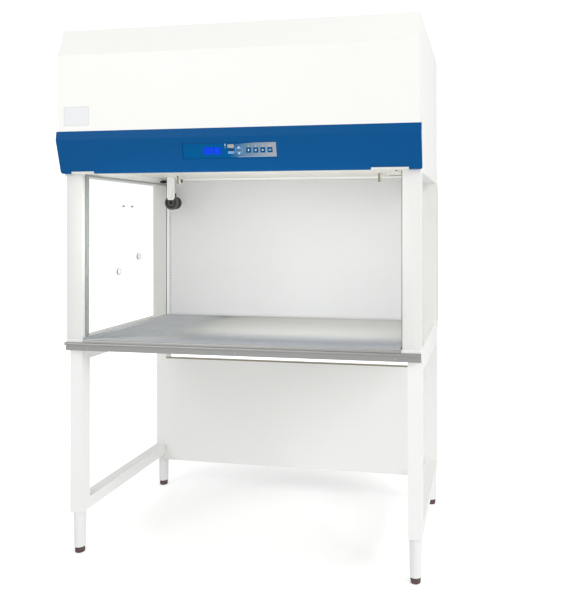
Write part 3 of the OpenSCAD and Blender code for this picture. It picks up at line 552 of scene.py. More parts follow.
def ring_points(radius: float, count: int, start: float = 0.0, turn: float = 360.0,
                centre: Point = (0.0, 0.0)) -> list[Point]:
    """Returns points on an arc.

    Args:
        radius: the arc's radius.
        count: how many steps it takes.
        start: where it starts, in degrees.
        turn: how far it turns; a full turn leaves out the doubled end.
        centre: its centre.

    Returns:
        The points, anticlockwise.
    """
    steps = count if turn >= 360 else count + 1
    out = []
    for i in range(steps):
        a = math.radians(start + turn * i / count)
        out.append((centre[0] + radius * math.cos(a), centre[1] + radius * math.sin(a)))
    return out


def band(inner: float, outer: float, start: float, turn: float, centre: Point,
         count: int = 18) -> list[Point]:
    """Returns the outline of an arc-shaped band.

    Args:
        inner: its inner radius.
        outer: its outer radius.
        start: where it starts, in degrees.
        turn: how far it turns, under a full turn.
        centre: its centre.
        count: the steps along each edge.

    Returns:
        The outline, anticlockwise.
    """
    return (ring_points(outer, count, start, turn, centre)
            + ring_points(inner, count, start, turn, centre)[::-1])


def rectangle(width: float, height: float, centre: Point = (0.0, 0.0),
              corner: float = 0.0) -> list[Point]:
    """Returns a rectangle's outline, with rounded corners if asked.

    Args:
        width: its width.
        height: its height.
        centre: its centre.
        corner: the corners' radius.

    Returns:
        The outline, anticlockwise.
    """
    half_w, half_h = width / 2 - corner, height / 2 - corner
    if corner <= 0:
        return [(centre[0] + sx * half_w, centre[1] + sy * half_h)
                for sx, sy in ((-1, -1), (1, -1), (1, 1), (-1, 1))]
    out: list[Point] = []
    for sx, sy, start in ((1, 1, 0), (-1, 1, 90), (-1, -1, 180), (1, -1, 270)):
        middle = (centre[0] + sx * half_w, centre[1] + sy * half_h)
        out += ring_points(corner, 5, start, 90, middle)
    return out


def turned(bm: bmesh.types.BMesh, profile: Sequence[Point], place: Matrix, steps: int = 48,
           index: int = 0) -> None:
    """Adds a turned shape that closes on its axis at both ends.

    Args:
        bm: the mesh to add to.
        profile: (radius, height) points from one end of the axis to the other.
        place: takes the shape's Z axis to its place.
        steps: how many steps go round.
        index: the material index of its faces.
    """
    rings = []
    for radius, height in profile:
        if radius < AXIS_REACH:
            rings.append([bm.verts.new(place @ Vector((0, 0, height)))])
        else:
            rings.append([bm.verts.new(place @ Vector((x, y, height)))
                          for x, y in ring_points(radius, steps)])
    for low, high in zip(rings, rings[1:]):
        for i in range(steps):
            j = (i + 1) % steps
            corners = [low[i % len(low)], low[j % len(low)], high[j % len(high)],
                       high[i % len(high)]]
            corners = list(dict.fromkeys(corners))
            if len(corners) > 2:
                bm.faces.new(corners).material_index = index


def sound(bm: bmesh.types.BMesh) -> bool:
    """Tells whether each face is filled by its own area, with no fold across itself.

    Args:
        bm: the mesh.

    Returns:
        True if its triangles' areas add up to the faces' own.
    """
    filled: dict[int, float] = {}
    bm.faces.index_update()
    for loops in bm.calc_loop_triangles():
        a, b, c = (loop.vert.co for loop in loops)
        index = loops[0].face.index
        filled[index] = filled.get(index, 0.0) + (b - a).cross(c - a).length / 2
    return all(abs(filled[f.index] - f.calc_area()) <= AREA_SLACK + AREA_SHARE * f.calc_area()
               for f in bm.faces)


def dress(node: str, finish: Finish, radius: float = mm(0.7),
          body: str = ROOT, smooth_deg: float = 0.0) -> bpy.types.Object:
    """Replaces a CAD node by a copy of itself with rounded folds.

    Args:
        node: the CAD node.
        finish: the copy's finish.
        radius: the rounding of its folds, made smaller where it doesn't fit.
        body: the body that carries it.
        smooth_deg: as in piece().

    Returns:
        The new piece.
    """
    bm = cad_copy(node)
    for share in FOLD_SHARES if radius else ():
        rounded(bm, share * radius)
        if sound(bm):
            break
        log.info("%s: rounding %.2f mm doesn't fit", node, 1000 * share * radius)
        bm.free()
        bm = cad_copy(node)
    obj = piece(f"{node}_formed", bm, [finish], body, smooth_deg)
    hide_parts(node)
    return obj


def recolour(obj: bpy.types.Object, finish: Finish,
             chosen: Callable[[bpy.types.MeshPolygon], bool]) -> None:
    """Gives some faces of a piece another finish.

    Args:
        obj: the piece.
        finish: the finish they get.
        chosen: tells whether a face gets it.
    """
    obj.data.materials.append(finish.material())
    index = len(obj.data.materials) - 1
    for face in obj.data.polygons:
        if chosen(face):
            face.material_index = index


def paint(node: str, finish: Finish) -> None:
    """Gives a CAD node its finish and leaves its mesh alone.

    Args:
        node: the CAD node.
        finish: its finish.
    """
    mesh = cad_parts[node].data
    mesh.materials.clear()
    mesh.materials.append(finish.material())
    log.info("%s: painted %s", node, finish.name)


# ---------------------------------------------------------------- geometry nodes
class Growth:
    """A geometry node tree with named inputs, run once on a carrier mesh."""

    def __init__(self, name: str) -> None:
        """Starts an empty tree with a geometry input and output.

        Args:
            name: the tree's name.
        """
        self.tree = bpy.data.node_groups.new(name, "GeometryNodeTree")
        self.tree.interface.new_socket("Carrier", in_out="INPUT",
                                       socket_type="NodeSocketGeometry")
        self.tree.interface.new_socket("Result", in_out="OUTPUT",
                                       socket_type="NodeSocketGeometry")
        self.inputs = add_node(self.tree, "NodeGroupInput")
        self.values: dict[str, tuple[str, float]] = {}

    def size(self, name: str, value: float) -> bpy.types.NodeSocket:
        """Adds a named size in metres.

        Args:
            name: the input's name.
            value: its value.

        Returns:
            The socket that gives it inside the tree.
        """
        item = self.tree.interface.new_socket(name, in_out="INPUT",
                                              socket_type="NodeSocketFloat")
        self.values[name] = (item.identifier, value)
        return self.inputs.outputs[name]

    def node(self, kind: str, values: dict | None = None, links: dict | None = None,
             **settings: object) -> bpy.types.Node:
        """Adds a node; see add_node()."""
        return add_node(self.tree, kind, values, links, **settings)

    def math(self, operation: str, first: object, second: object = None) -> bpy.types.NodeSocket:
        """Adds a math node.

        Args:
            operation: what it does, such as "MULTIPLY".
            first: a socket or a number.
            second: a socket or a number, if it takes two.

        Returns:
            Its result.
        """
        values, links = {}, {}
        for i, item in enumerate((first, second)):
            if isinstance(item, bpy.types.NodeSocket):
                links[i] = item
            elif item is not None:
                values[i] = item
        return self.node("ShaderNodeMath", values, links, operation=operation).outputs[0]

    def close(self, geometry: bpy.types.NodeSocket, finish: Finish) -> None:
        """Ends the tree in Realize Instances and Set Material.

        Args:
            geometry: the last geometry socket.
            finish: the finish it sets.
        """
        real = self.node("GeometryNodeRealizeInstances", None, {0: geometry})
        dye = self.node("GeometryNodeSetMaterial", {"Material": finish.material()},
                        {0: real.outputs[0]})
        self.node("NodeGroupOutput", None, {0: dye.outputs[0]})

    def run(self, carrier: bpy.types.Mesh, sizes: dict[str, float] | None = None
            ) -> bmesh.types.BMesh:
        """Runs the tree once.

        Args:
            carrier: the mesh that the modifier sits on.
            sizes: named sizes that differ from the values given before.

        Returns:
            The result as a plain bmesh.
        """
        obj = bpy.data.objects.new("carrier", carrier)
        bpy.context.scene.collection.objects.link(obj)
        modifier = obj.modifiers.new("growth", "NODES")
        modifier.node_group = self.tree
        for name, (identifier, value) in self.values.items():
            modifier[identifier] = (sizes or {}).get(name, value)
        graph = bpy.context.evaluated_depsgraph_get()
        mesh = bpy.data.meshes.new_from_object(obj.evaluated_get(graph))
        bpy.data.objects.remove(obj)
        out = bmesh.new()
        out.from_mesh(mesh)
        bpy.data.meshes.remove(mesh)
        return out


# ---------------------------------------------------------------- sub-assemblies
class Side(Enum):
    """Left and right as the operator faces the hood."""

    LEFT = "left"
    RIGHT = "right"


class Row(Enum):
    """Front and rear legs."""

    FRONT = "front"
    REAR = "rear"


@dataclass
class Stand:
    """Two welded side frames with telescoping legs, levelling feet and a rear panel."""

    tube_radius: float = mm(3.0)
    panel_radius: float = mm(1.2)
    # The strip of painted shade along the rear panel's top edge.
    trim_height: float = mm(6.5)
    trim_proud: float = mm(0.8)
    trim_lap: float = mm(0.2)
    trim_gap: float = mm(1)
    pad_height: float = mm(18)
    # The pad's outline in mm: inset from its rim with the height above the floor, and for
    # its crown with the depth below the top.
    pad_wall: tuple[Point, ...] = ((4, 0), (2, 0.8), (1, 3), (0.8, 7), (1.6, 8), (1.6, 9),
                                   (0.5, 10))
    pad_crown: tuple[Point, ...] = ((0, 5), (0.3, 3), (1.4, 1), (3.5, 0))
    nut_radius: float = mm(12)
    nut_top: float = mm(22.7)
    nut_lap: float = mm(0.2)
    stud_radius: float = mm(6)
    stud_chamfer: float = mm(1)
    pad_steps: int = 64
    stud_steps: int = 32

    def build(self) -> None:
        """Builds every piece of the stand."""
        for side in Side:
            dress(f"stand_frame_{side.value}", STAND_COAT, self.tube_radius,
                  smooth_deg=SMOOTH_FOLDED)
        dress("modesty_panel", STAND_COAT, self.panel_radius)
        self.edge_trim()
        dress("leg_clamp_bolts", ZINC, 0, smooth_deg=SMOOTH_CAP)
        for row in Row:
            for side in Side:
                self.leg(row, side)
                self.foot(row, side)

    def edge_trim(self) -> None:
        """Lays a strip of painted shade along the front of the rear panel's upper edge."""
        low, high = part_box("modesty_panel")
        inner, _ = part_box("stand_frame_right")
        reach = inner.x - self.trim_gap
        bm = bmesh.new()
        box(bm, (-reach, low.y - self.trim_proud, high.z - self.trim_height),
            (reach, low.y + self.trim_lap, high.z - self.trim_lap))
        piece("panel_edge_trim", bm, [TOP_EDGE_SHADE], ROOT)

    def leg(self, row: Row, side: Side) -> None:
        """Dresses one inner leg.

        Args:
            row: front or rear.
            side: left or right.
        """
        dress(f"inner_leg_{row.value}_{side.value}", LEG_COAT, 0,
              f"leg_{row.value}_{side.value}", smooth_deg=SMOOTH_CAP)

    def foot(self, row: Row, side: Side) -> None:
        """Turns one rubber foot with the steel nut that locks it.

        Args:
            row: front or rear.
            side: left or right.
        """
        node = f"foot_{row.value}_{side.value}"
        low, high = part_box(node)
        r = (high.x - low.x) / 2
        place = Matrix.Translation(((low.x + high.x) / 2, (low.y + high.y) / 2, 0))
        h = self.pad_height
        wall = [(r - inset, height) for inset, height in points_mm(*self.pad_wall)]
        crown = [(r - inset, h - depth) for inset, depth in points_mm(*self.pad_crown)]
        bm = bmesh.new()
        turned(bm, [(0, 0), *wall, *crown, (0, h)], place, self.pad_steps)
        nut = ring_points(self.nut_radius, 6)
        loft(bm, [(nut, h - self.nut_lap), (nut, self.nut_top)], place, 1)
        stud, chamfer, start = self.stud_radius, self.stud_chamfer, self.nut_top - self.nut_lap
        turned(bm, [(0, start), (stud, start), (stud, high.z - chamfer),
                    (stud - chamfer, high.z), (0, high.z)], place, self.stud_steps, 1)
        obj = piece(f"{node}_turned", bm, [FOOT_RUBBER, ZINC], node,
                    SMOOTH_TURNED)
        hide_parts(node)


@dataclass
class Base:
    """The cabinet's base with its stainless worktop, apron and screws."""

    bead: float = mm(4.5)
    fold: float = mm(1.2)
    head_radius: float = mm(5)
    head_height: float = mm(2)
    recess_arm: float = mm(2.6)
    recess_half: float = mm(0.5)
    recess_depth: float = mm(0.9)
    recess_taper: float = 0.7
    head_steps: int = 24

    def build(self) -> None:
        """Builds the base."""
        dress("base_pan", WHITE_COAT, self.fold)
        tray = dress("worktop_tray", WORKTOP_STEEL, 0, smooth_deg=SMOOTH_CAP)
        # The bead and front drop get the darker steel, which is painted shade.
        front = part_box("worktop_tray")[0].y + self.bead
        recolour(tray, BEAD_SHADE_STEEL, lambda face: face.center.y < front)
        dress("front_apron", APRON_STEEL, 0, smooth_deg=SMOOTH_CAP)
        self.screws()

    def head(self) -> bmesh.types.BMesh:
        """Makes one cross-recessed pan head that faces forwards, with its seat at Y = 0.

        Returns:
            The head.
        """
        bm = bmesh.new()
        radius, top, steps = self.head_radius, self.head_height, self.head_steps
        outer = [(radius, 0.0), (radius, mm(0.7)), (radius - mm(0.5), mm(1.4)),
                 (radius - mm(1.4), top)]
        rings = [[bm.verts.new((x, -h, y)) for x, y in ring_points(r, steps)] for r, h in outer]
        for low, high in zip(rings, rings[1:]):
            for i in range(steps):
                j = (i + 1) % steps
                bm.faces.new((low[i], low[j], high[j], high[i]))
        a, w = self.recess_arm, self.recess_half
        cross = [(a, -w), (a, w), (w, w), (w, a), (-w, a), (-w, w), (-a, w), (-a, -w),
                 (-w, -w), (-w, -a), (w, -a), (w, -w)]
        brim = [bm.verts.new((x, -top, z)) for x, z in cross]
        taper, depth = self.recess_taper, self.recess_depth
        floor = [bm.verts.new((taper * x, depth - top, taper * z)) for x, z in cross]
        rim = rings[-1]
        pairs = list(zip(range(len(cross)), [*range(1, len(cross)), 0]))
        edges = [bm.edges.get((rim[i], rim[(i + 1) % steps])) for i in range(steps)]
        edges += [bm.edges.new((brim[i], brim[j])) for i, j in pairs]
        bmesh.ops.triangle_fill(bm, use_beauty=True, use_dissolve=False, edges=edges)
        for i, j in pairs:
            bm.faces.new((brim[i], brim[j], floor[j], floor[i]))
        bm.faces.new(floor)
        bm.faces.new(rings[0])
        bmesh.ops.recalc_face_normals(bm, faces=bm.faces)
        return bm

    def seats(self) -> list[Vector]:
        """Finds where the screws' heads sit.

        Returns:
            The middle of each head's seat, one for each loose body of the screws' mesh.
        """
        bm = cad_copy("cover_screws")
        found: list[Vector] = []
        unseen = set(bm.verts)
        while unseen:
            island, front = set(), [unseen.pop()]
            while front:
                v = front.pop()
                island.add(v)
                near = {e.other_vert(v) for e in v.link_edges} & unseen
                unseen -= near
                front += near
            co = np.array([v.co for v in island])
            low, high = co.min(axis=0), co.max(axis=0)
            found.append(Vector(((low[0] + high[0]) / 2, low[1] + self.head_height,
                                 (low[2] + high[2]) / 2)))
        bm.free()
        return found

    def screws(self) -> None:
        """Grows a screw head on every screw of the apron and the rear panel."""
        carrier = bpy.data.meshes.new("screw_seats")
        carrier.from_pydata(self.seats(), [], [])
        template = bpy.data.meshes.new("pan_head")
        shape = self.head()
        shape.to_mesh(template)
        shape.free()
        model = bpy.data.objects.new("pan_head_model", template)
        bpy.context.scene.collection.objects.link(model)
        growth = Growth("screw_heads")
        scale = growth.size("Head scale", 1.0)
        head = growth.node("GeometryNodeObjectInfo", {"Object": model})
        points = growth.node("GeometryNodeInstanceOnPoints", None,
                             {"Points": growth.inputs.outputs["Carrier"],
                              "Instance": head.outputs["Geometry"], "Scale": scale})
        growth.close(points.outputs[0], ZINC)
        out = growth.run(carrier)
        bpy.data.objects.remove(model)
        for face in out.faces:
            face.material_index = 1 if face.calc_center_median().y > 0 else 0
        obj = piece("cover_screw_heads", out, [ZINC, STAND_COAT], ROOT,
                    SMOOTH_MOULDED)
        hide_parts("cover_screws")


@dataclass
class WorkZone:
    """Posts, side glass with its fittings, rear columns, and the perforated diffuser."""

    post_radius: float = mm(2.0)
    panel_radius: float = mm(1.2)
    hole_pitch: float = mm(8.0)
    hole_radius: float = mm(2.2)
    weld: float = mm(0.02)
    rim: float = mm(6.0)
    rim_lap: float = mm(3.0)
    sheet: float = mm(0.8)
    flat_side: float = 0.9

    def build(self) -> None:
        """Builds the work zone."""
        # The posts, rear columns and rear cover take the darker white, which is painted shade.
        for side in Side:
            dress(f"front_post_{side.value}", POST_SHADE_COAT, self.post_radius,
                  smooth_deg=SMOOTH_FOLDED)
            self.glass(side)
        dress("rear_columns", POST_SHADE_COAT, self.panel_radius)
        dress("rear_cover", POST_SHADE_COAT, self.panel_radius)
        dress("glass_port_grommets", GREY_PLASTIC, 0,
              smooth_deg=SMOOTH_MOULDED)
        dress("glass_studs", BLACK_PLASTIC, 0, smooth_deg=SMOOTH_MOULDED)
        paint("filter_frame", MILL_ALUMINIUM)
        paint("filter_media", FILTER_PAPER)
        self.diffuser()

    def glass(self, side: Side) -> None:
        """Dresses one pane: clear through its faces, green along its cut edges.

        Args:
            side: left or right.
        """
        node = f"side_glass_{side.value}"
        bm = cad_copy(node)
        for face in bm.faces:
            face.material_index = 0 if abs(face.normal.x) > self.flat_side else 1
        obj = piece(f"{node}_pane", bm, [GLASS_FACE, GLASS_EDGE], ROOT)
        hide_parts(node)

    def lattice(self, growth: Growth, pitch: bpy.types.NodeSocket) -> bpy.types.NodeSocket:
        """Adds the holes' centres: rows sqrt(3)/2 of the pitch apart, every second one moved.

        Args:
            growth: the node tree.
            pitch: the distance between neighbouring holes.

        Returns:
            The points.
        """
        across, up = growth.size("Columns", 1.0), growth.size("Rows", 1.0)
        centre = growth.size("Centre", 0.0)
        row = growth.math("MULTIPLY", pitch, math.sqrt(3) / 2)
        grid = growth.node(
            "GeometryNodeMeshGrid", None,
            {"Vertices X": across, "Vertices Y": up,
             "Size X": growth.math("MULTIPLY", growth.math("SUBTRACT", across, 1.0), pitch),
             "Size Y": growth.math("MULTIPLY", growth.math("SUBTRACT", up, 1.0), row)})
        spot = growth.node("GeometryNodeInputPosition")
        split = growth.node("ShaderNodeSeparateXYZ", None, {0: spot.outputs[0]})
        # An even number keeps the count positive; the quarter keeps it off a rounding edge.
        count = growth.math("ROUND", growth.math(
            "ADD", growth.math("DIVIDE", split.outputs[1], row), 200.25))
        side = growth.math("SUBTRACT", growth.math("MODULO", count, 2.0), 0.5)
        shift = growth.math("ADD", centre, growth.math(
            "MULTIPLY", side, growth.math("MULTIPLY", pitch, 0.5)))
        move = growth.node("ShaderNodeCombineXYZ", None, {0: shift})
        stagger = growth.node("GeometryNodeSetPosition", None,
                              {"Geometry": grid.outputs[0], "Offset": move.outputs[0]})
        return stagger.outputs[0]

    def cell(self, growth: Growth, pitch: bpy.types.NodeSocket,
             hole: bpy.types.NodeSocket) -> bpy.types.NodeSocket:
        """Adds one six-sided cell of the sheet with its hole.

        Args:
            growth: the node tree.
            pitch: the distance between neighbouring holes.
            hole: the hole's radius.

        Returns:
            The cell round its hole, flat and round the origin.
        """
        corner = growth.math("DIVIDE", pitch, math.sqrt(3))
        outline = growth.node("GeometryNodeMeshCircle", {"Vertices": 6}, {"Radius": corner})
        reach = growth.math("SUBTRACT", growth.math("DIVIDE", hole, corner), 1.0)
        spot = growth.node("GeometryNodeInputPosition")
        inwards = growth.node("ShaderNodeVectorMath", None,
                              {0: spot.outputs[0], "Scale": reach}, operation="SCALE")
        ring = growth.node("GeometryNodeExtrudeMesh", {"Offset Scale": 1.0},
                           {"Mesh": outline.outputs[0], "Offset": inwards.outputs[0]},
                           mode="EDGES")
        return ring.outputs[0]

    def perforation(self, low: Vector, high: Vector) -> Growth:
        """Makes the node tree of one sheet of staggered holes.

        Args:
            low: the diffuser's lowest corner.
            high: its highest corner.

        Returns:
            The closed tree, which stands the sheet up at the diffuser's front.
        """
        growth = Growth("perforated_sheet")
        pitch = growth.size("Hole pitch", self.hole_pitch)
        hole = growth.size("Hole radius", self.hole_radius)
        thick = growth.size("Sheet thickness", self.sheet)
        cells = growth.node("GeometryNodeInstanceOnPoints",
                            {"Rotation": (0.0, 0.0, math.radians(30))},
                            {"Points": self.lattice(growth, pitch),
                             "Instance": self.cell(growth, pitch, hole)})
        loose = growth.node("GeometryNodeRealizeInstances", None, {0: cells.outputs[0]})
        flat = growth.node("GeometryNodeMergeByDistance", {"Distance": self.weld},
                           {0: loose.outputs[0]})
        depth = growth.node("ShaderNodeCombineXYZ", None, {"Z": thick})
        front = growth.node("GeometryNodeExtrudeMesh", {"Individual": False,
                                                        "Offset Scale": 1.0},
                            {"Mesh": flat.outputs[0], "Offset": depth.outputs[0]},
                            mode="FACES")
        back = growth.node("GeometryNodeFlipFaces", None, {0: flat.outputs[0]})
        both = growth.node("GeometryNodeJoinGeometry", None, {0: front.outputs[0]})
        growth.tree.links.new(back.outputs[0], both.inputs[0])
        whole = growth.node("GeometryNodeMergeByDistance", {"Distance": self.weld},
                            {0: both.outputs[0]})
        stand = growth.node("GeometryNodeTransform",
                            {"Rotation": (math.radians(90), 0.0, 0.0),
                             "Translation": (0.0, low.y + 1.2 * self.sheet,
                                             (low.z + high.z) / 2)},
                            {0: whole.outputs[0]})
        growth.close(stand.outputs[0], DIFFUSER_ENAMEL)
        return growth

    def diffuser(self) -> None:
        """Grows the perforated sheet in three strips, and adds its pan."""
        low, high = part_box("rear_diffuser")
        columns = round((high.x - low.x - 2 * self.rim) / self.hole_pitch)
        rows = round((high.z - low.z - 2 * self.rim) / (self.hole_pitch * math.sqrt(3) / 2))
        growth = self.perforation(low, high)
        start = 0
        for i, name in enumerate(("left", "middle", "right")):
            end = round(columns * (i + 1) / 3)
            middle = ((start + end) / 2 - columns / 2) * self.hole_pitch
            out = growth.run(bpy.data.meshes.new("diffuser_carrier"),
                             {"Columns": end - start, "Rows": rows, "Centre": middle})
            bmesh.ops.recalc_face_normals(out, faces=out.faces)
            sheet = piece(f"diffuser_sheet_{name}", out, [DIFFUSER_ENAMEL], ROOT)
            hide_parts("rear_diffuser")
            start = end
        self.pan(low, high)

    def pan(self, low: Vector, high: Vector) -> None:
        """Frames the perforated sheet with its folded pan.

        Args:
            low: the diffuser's lowest corner.
            high: its highest corner.
        """
        bm = bmesh.new()
        rim, t = self.rim + self.rim_lap, 0.9 * self.sheet
        for x0, x1, z0, z1 in ((low.x, high.x, low.z, low.z + rim),
                               (low.x, high.x, high.z - rim, high.z),
                               (low.x, low.x + rim, low.z + rim, high.z - rim),
                               (high.x - rim, high.x, low.z + rim, high.z - rim)):
            box(bm, (x0, low.y, z0), (x1, low.y + t, z1))
        for x0, x1 in ((low.x, low.x + t), (high.x - t, high.x)):
            box(bm, (x0, low.y + t, low.z), (x1, high.y, high.z))
        for z0, z1 in ((low.z, low.z + t), (high.z - t, high.z)):
            box(bm, (low.x + t, low.y + t, z0), (high.x - t, high.y, z1))
        pan = piece("diffuser_pan", bm, [DIFFUSER_ENAMEL], ROOT)
        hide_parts("rear_diffuser")


@dataclass
class Header:
    """The fan header: shell, blue fascia, ceiling, blower set, prefilter and blank label."""

    fold: float = mm(1.2)
    fascia_fold: float = mm(0.8)
    clip_fold: float = mm(0.3)
    panel_fold: float = mm(0.5)
    deck_fold: float = mm(0.6)
    pad_fold: float = mm(1.5)
    label: tuple[float, float, float, float] = (mm(-644), mm(1612), mm(-543), mm(1682))
    label_face: float = mm(-410)
    label_t: float = mm(0.25)
    label_margin: float = mm(2.5)
    label_corner: float = mm(3)
    field_t: float = mm(0.05)
    field_corner: float = mm(2)
    cover_screw: float = mm(1.9)
    underside: float = -0.9

    def build(self) -> None:
        """Builds the header."""
        dress("header_shell", WHITE_COAT, self.fold)
        dress("front_cover", WHITE_COAT, self.fold)
        dress("fascia", BLUE_COAT, self.fascia_fold, smooth_deg=SMOOTH_TURNED)
        dress("fascia_clips", CLIP_METAL, self.clip_fold)
        dress("ceiling_panel", CEILING_ENAMEL, self.panel_fold)
        dress("light_trough", WHITE_COAT, 0)
        cover = dress("wiring_cover", CEILING_ENAMEL, 0,
                      smooth_deg=SMOOTH_TURNED)
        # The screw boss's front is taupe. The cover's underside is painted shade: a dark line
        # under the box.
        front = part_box("wiring_cover")[0].y + self.cover_screw
        recolour(cover, TAUPE_AND_SHADE_PLASTIC,
                 lambda face: face.center.y < front or face.normal.z < self.underside)
        dress("blower_deck", GALVANISED, self.deck_fold)
        dress("blower_housing", GALVANISED, 0, smooth_deg=SMOOTH_TURNED)
        dress("blower_wheel", MILL_ALUMINIUM, 0, "blower_wheel",
              SMOOTH_TURNED)
        dress("blower_motor", MOTOR_ENAMEL, 0, smooth_deg=SMOOTH_TURNED)
        dress("prefilter_frame", GALVANISED, self.panel_fold)
        dress("prefilter_pad", PAD_FIBRE, self.pad_fold)
        self.blank_label()

    def blank_label(self) -> None:
        """Lays the blank data label, with its corners rounded, on the front cover."""
        x0, z0, x1, z1 = self.label
        place = (Matrix.Translation(((x0 + x1) / 2, self.label_face, (z0 + z1) / 2))
                 @ Matrix.Rotation(math.radians(90), 4, "X"))
        margin = 2 * self.label_margin
        shape = rectangle(x1 - x0, z1 - z0, corner=self.label_corner)
        inner = rectangle(x1 - x0 - margin, z1 - z0 - margin, corner=self.field_corner)
        bm = bmesh.new()
        loft(bm, [(shape, 0.0), (shape, self.label_t)], place)
        loft(bm, [(inner, self.label_t), (inner, self.label_t + self.field_t)], place, 1)
        piece("blank_data_label", bm, [BLANK_LABEL, BLANK_FIELD], ROOT)


@dataclass
class Fittings:
    """Lamp, lampholders, service valve on its hanger, bush and cable gland."""

    clamp_radius: float = mm(1.0)
    holder_radius: float = mm(0.8)
    hanger_fold: float = mm(0.8)
    cap: float = mm(12)
    cap_lap: float = mm(1)
    cap_edge: float = mm(0.3)
    tube_steps: int = 32
    hollow: float = mm(9)
    groove: tuple[float, float] = (mm(15), mm(25))
    groove_depths: tuple[float, float] = (mm(0.3), mm(8))
    holder_front: float = -0.9

    def build(self) -> None:
        """Builds the fittings."""
        self.tube()
        dress("light_holders", WHITE_PLASTIC, self.clamp_radius)
        holders = dress("lampholders", WHITE_PLASTIC, self.holder_radius,
                        smooth_deg=SMOOTH_TURNED)
        # The lampholders' front faces get taupe, which is painted shade where they lie in shadow.
        recolour(holders, TAUPE_AND_SHADE_PLASTIC, lambda face: face.normal.y < self.holder_front)
        for side in Side:
            dress(f"lampholder_rotor_{side.value}", ROTOR_PLASTIC, 0,
                  f"rotor_{side.value}", SMOOTH_TURNED)
        dress("service_hanger", WHITE_COAT, self.hanger_fold)
        dress("service_valve_body", VALVE_PLASTIC, 0,
              smooth_deg=SMOOTH_TURNED)
        self.knob()
        dress("cable_bush", BUSH_RUBBER, 0, smooth_deg=SMOOTH_MOULDED)
        dress("cable_gland", BLACK_PLASTIC, 0, smooth_deg=SMOOTH_MOULDED)

    def knob(self) -> None:
        """Dresses the valve's knob, darker in its hollow and in the groove of its face."""
        low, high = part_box("service_valve_knob")
        axis = Vector(((low.x + high.x) / 2, (low.z + high.z) / 2))
        front, back = (low.y + depth for depth in self.groove_depths)

        def between(inner: float, outer: float, face: bpy.types.MeshPolygon) -> bool:
            """Tells whether a face lies in a ring round the knob's axis, below its rim.

            Args:
                inner: the ring's inner radius.
                outer: its outer radius.
                face: the face.

            Returns:
                True if its middle does.
            """
            reach = (Vector((face.center.x, face.center.z)) - axis).length
            return inner <= reach < outer and front < face.center.y < back

        obj = dress("service_valve_knob", VALVE_PLASTIC, 0, "valve_knob",
                    SMOOTH_TURNED)
        recolour(obj, KNOB_HOLLOW, lambda face: between(0.0, self.hollow, face))
        recolour(obj, KNOB_GROOVE, lambda face: between(*self.groove, face))

    def tube(self) -> None:
        """Turns the fluorescent tube with a metal cap at each end."""
        low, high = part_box("light_tube")
        half, r = (high.x - low.x) / 2, (high.z - low.z) / 2
        place = (Matrix.Translation((0, (low.y + high.y) / 2, (low.z + high.z) / 2))
                 @ Matrix.Rotation(math.radians(90), 4, "Y"))
        glass, steps = half - self.cap, self.tube_steps
        bm = bmesh.new()
        turned(bm, [(0, -glass), (r - mm(1.5), -glass), (r - mm(0.4), mm(2) - glass),
                    (r - mm(0.4), glass - mm(2)), (r - mm(1.5), glass), (0, glass)], place, steps)
        edge = self.cap_edge
        for s in (-1, 1):
            near, far = sorted((s * (glass - self.cap_lap), s * half))
            turned(bm, [(0, near), (r - edge, near), (r, near + edge), (r, far - edge),
                        (r - edge, far), (0, far)], place, steps, 1)
        tube = piece("light_tube_turned", bm, [LAMP_PHOSPHOR, MILL_ALUMINIUM], ROOT,
                     SMOOTH_TURNED)
        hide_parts("light_tube")


class Key(Enum):
    """The square keys: each one's node and its place along the panel."""

    LIGHT = ("key_light", mm(73))
    FAN = ("key_fan", mm(99))
    LAMP = ("key_lamp", mm(125))
    MUTE = ("key_mute", mm(151))

    @property
    def node(self) -> str:
        """Returns the key's CAD node, which is also its body."""
        return self.value[0]

    @property
    def x(self) -> float:
        """Returns the key's centre along the panel."""
        return self.value[1]


class Ink(Enum):
    """The overlay's inks, in the order of its material slots."""

    BLUE = INK_BLUE
    SILVER = INK_SILVER
    WHITE = INK_WHITE
    TAN = INK_TAN
    DARK = INK_DARK_AND_SHADE
    SKY = INK_SKY
    ORANGE = INK_ORANGE
    GREY = INK_GREY
    EDGE = INK_HIGHLIGHT

    @property
    def index(self) -> int:
        """Returns the ink's material slot."""
        return list(Ink).index(self)


# Seven-segment digits, in mm: each bar's centre from the digit's lower left, and whether
# it stands. The second table gives the bars that each digit lights.
BARS = {"a": (3.0, 11.4, False), "b": (5.8, 8.6, True), "c": (5.8, 3.0, True),
        "d": (3.0, 0.2, False), "e": (0.2, 3.0, True), "f": (0.2, 8.6, True),
        "g": (3.0, 5.8, False)}
SEGMENTS = {"0": "abcdef", "4": "fgbc", "5": "afgcd"}


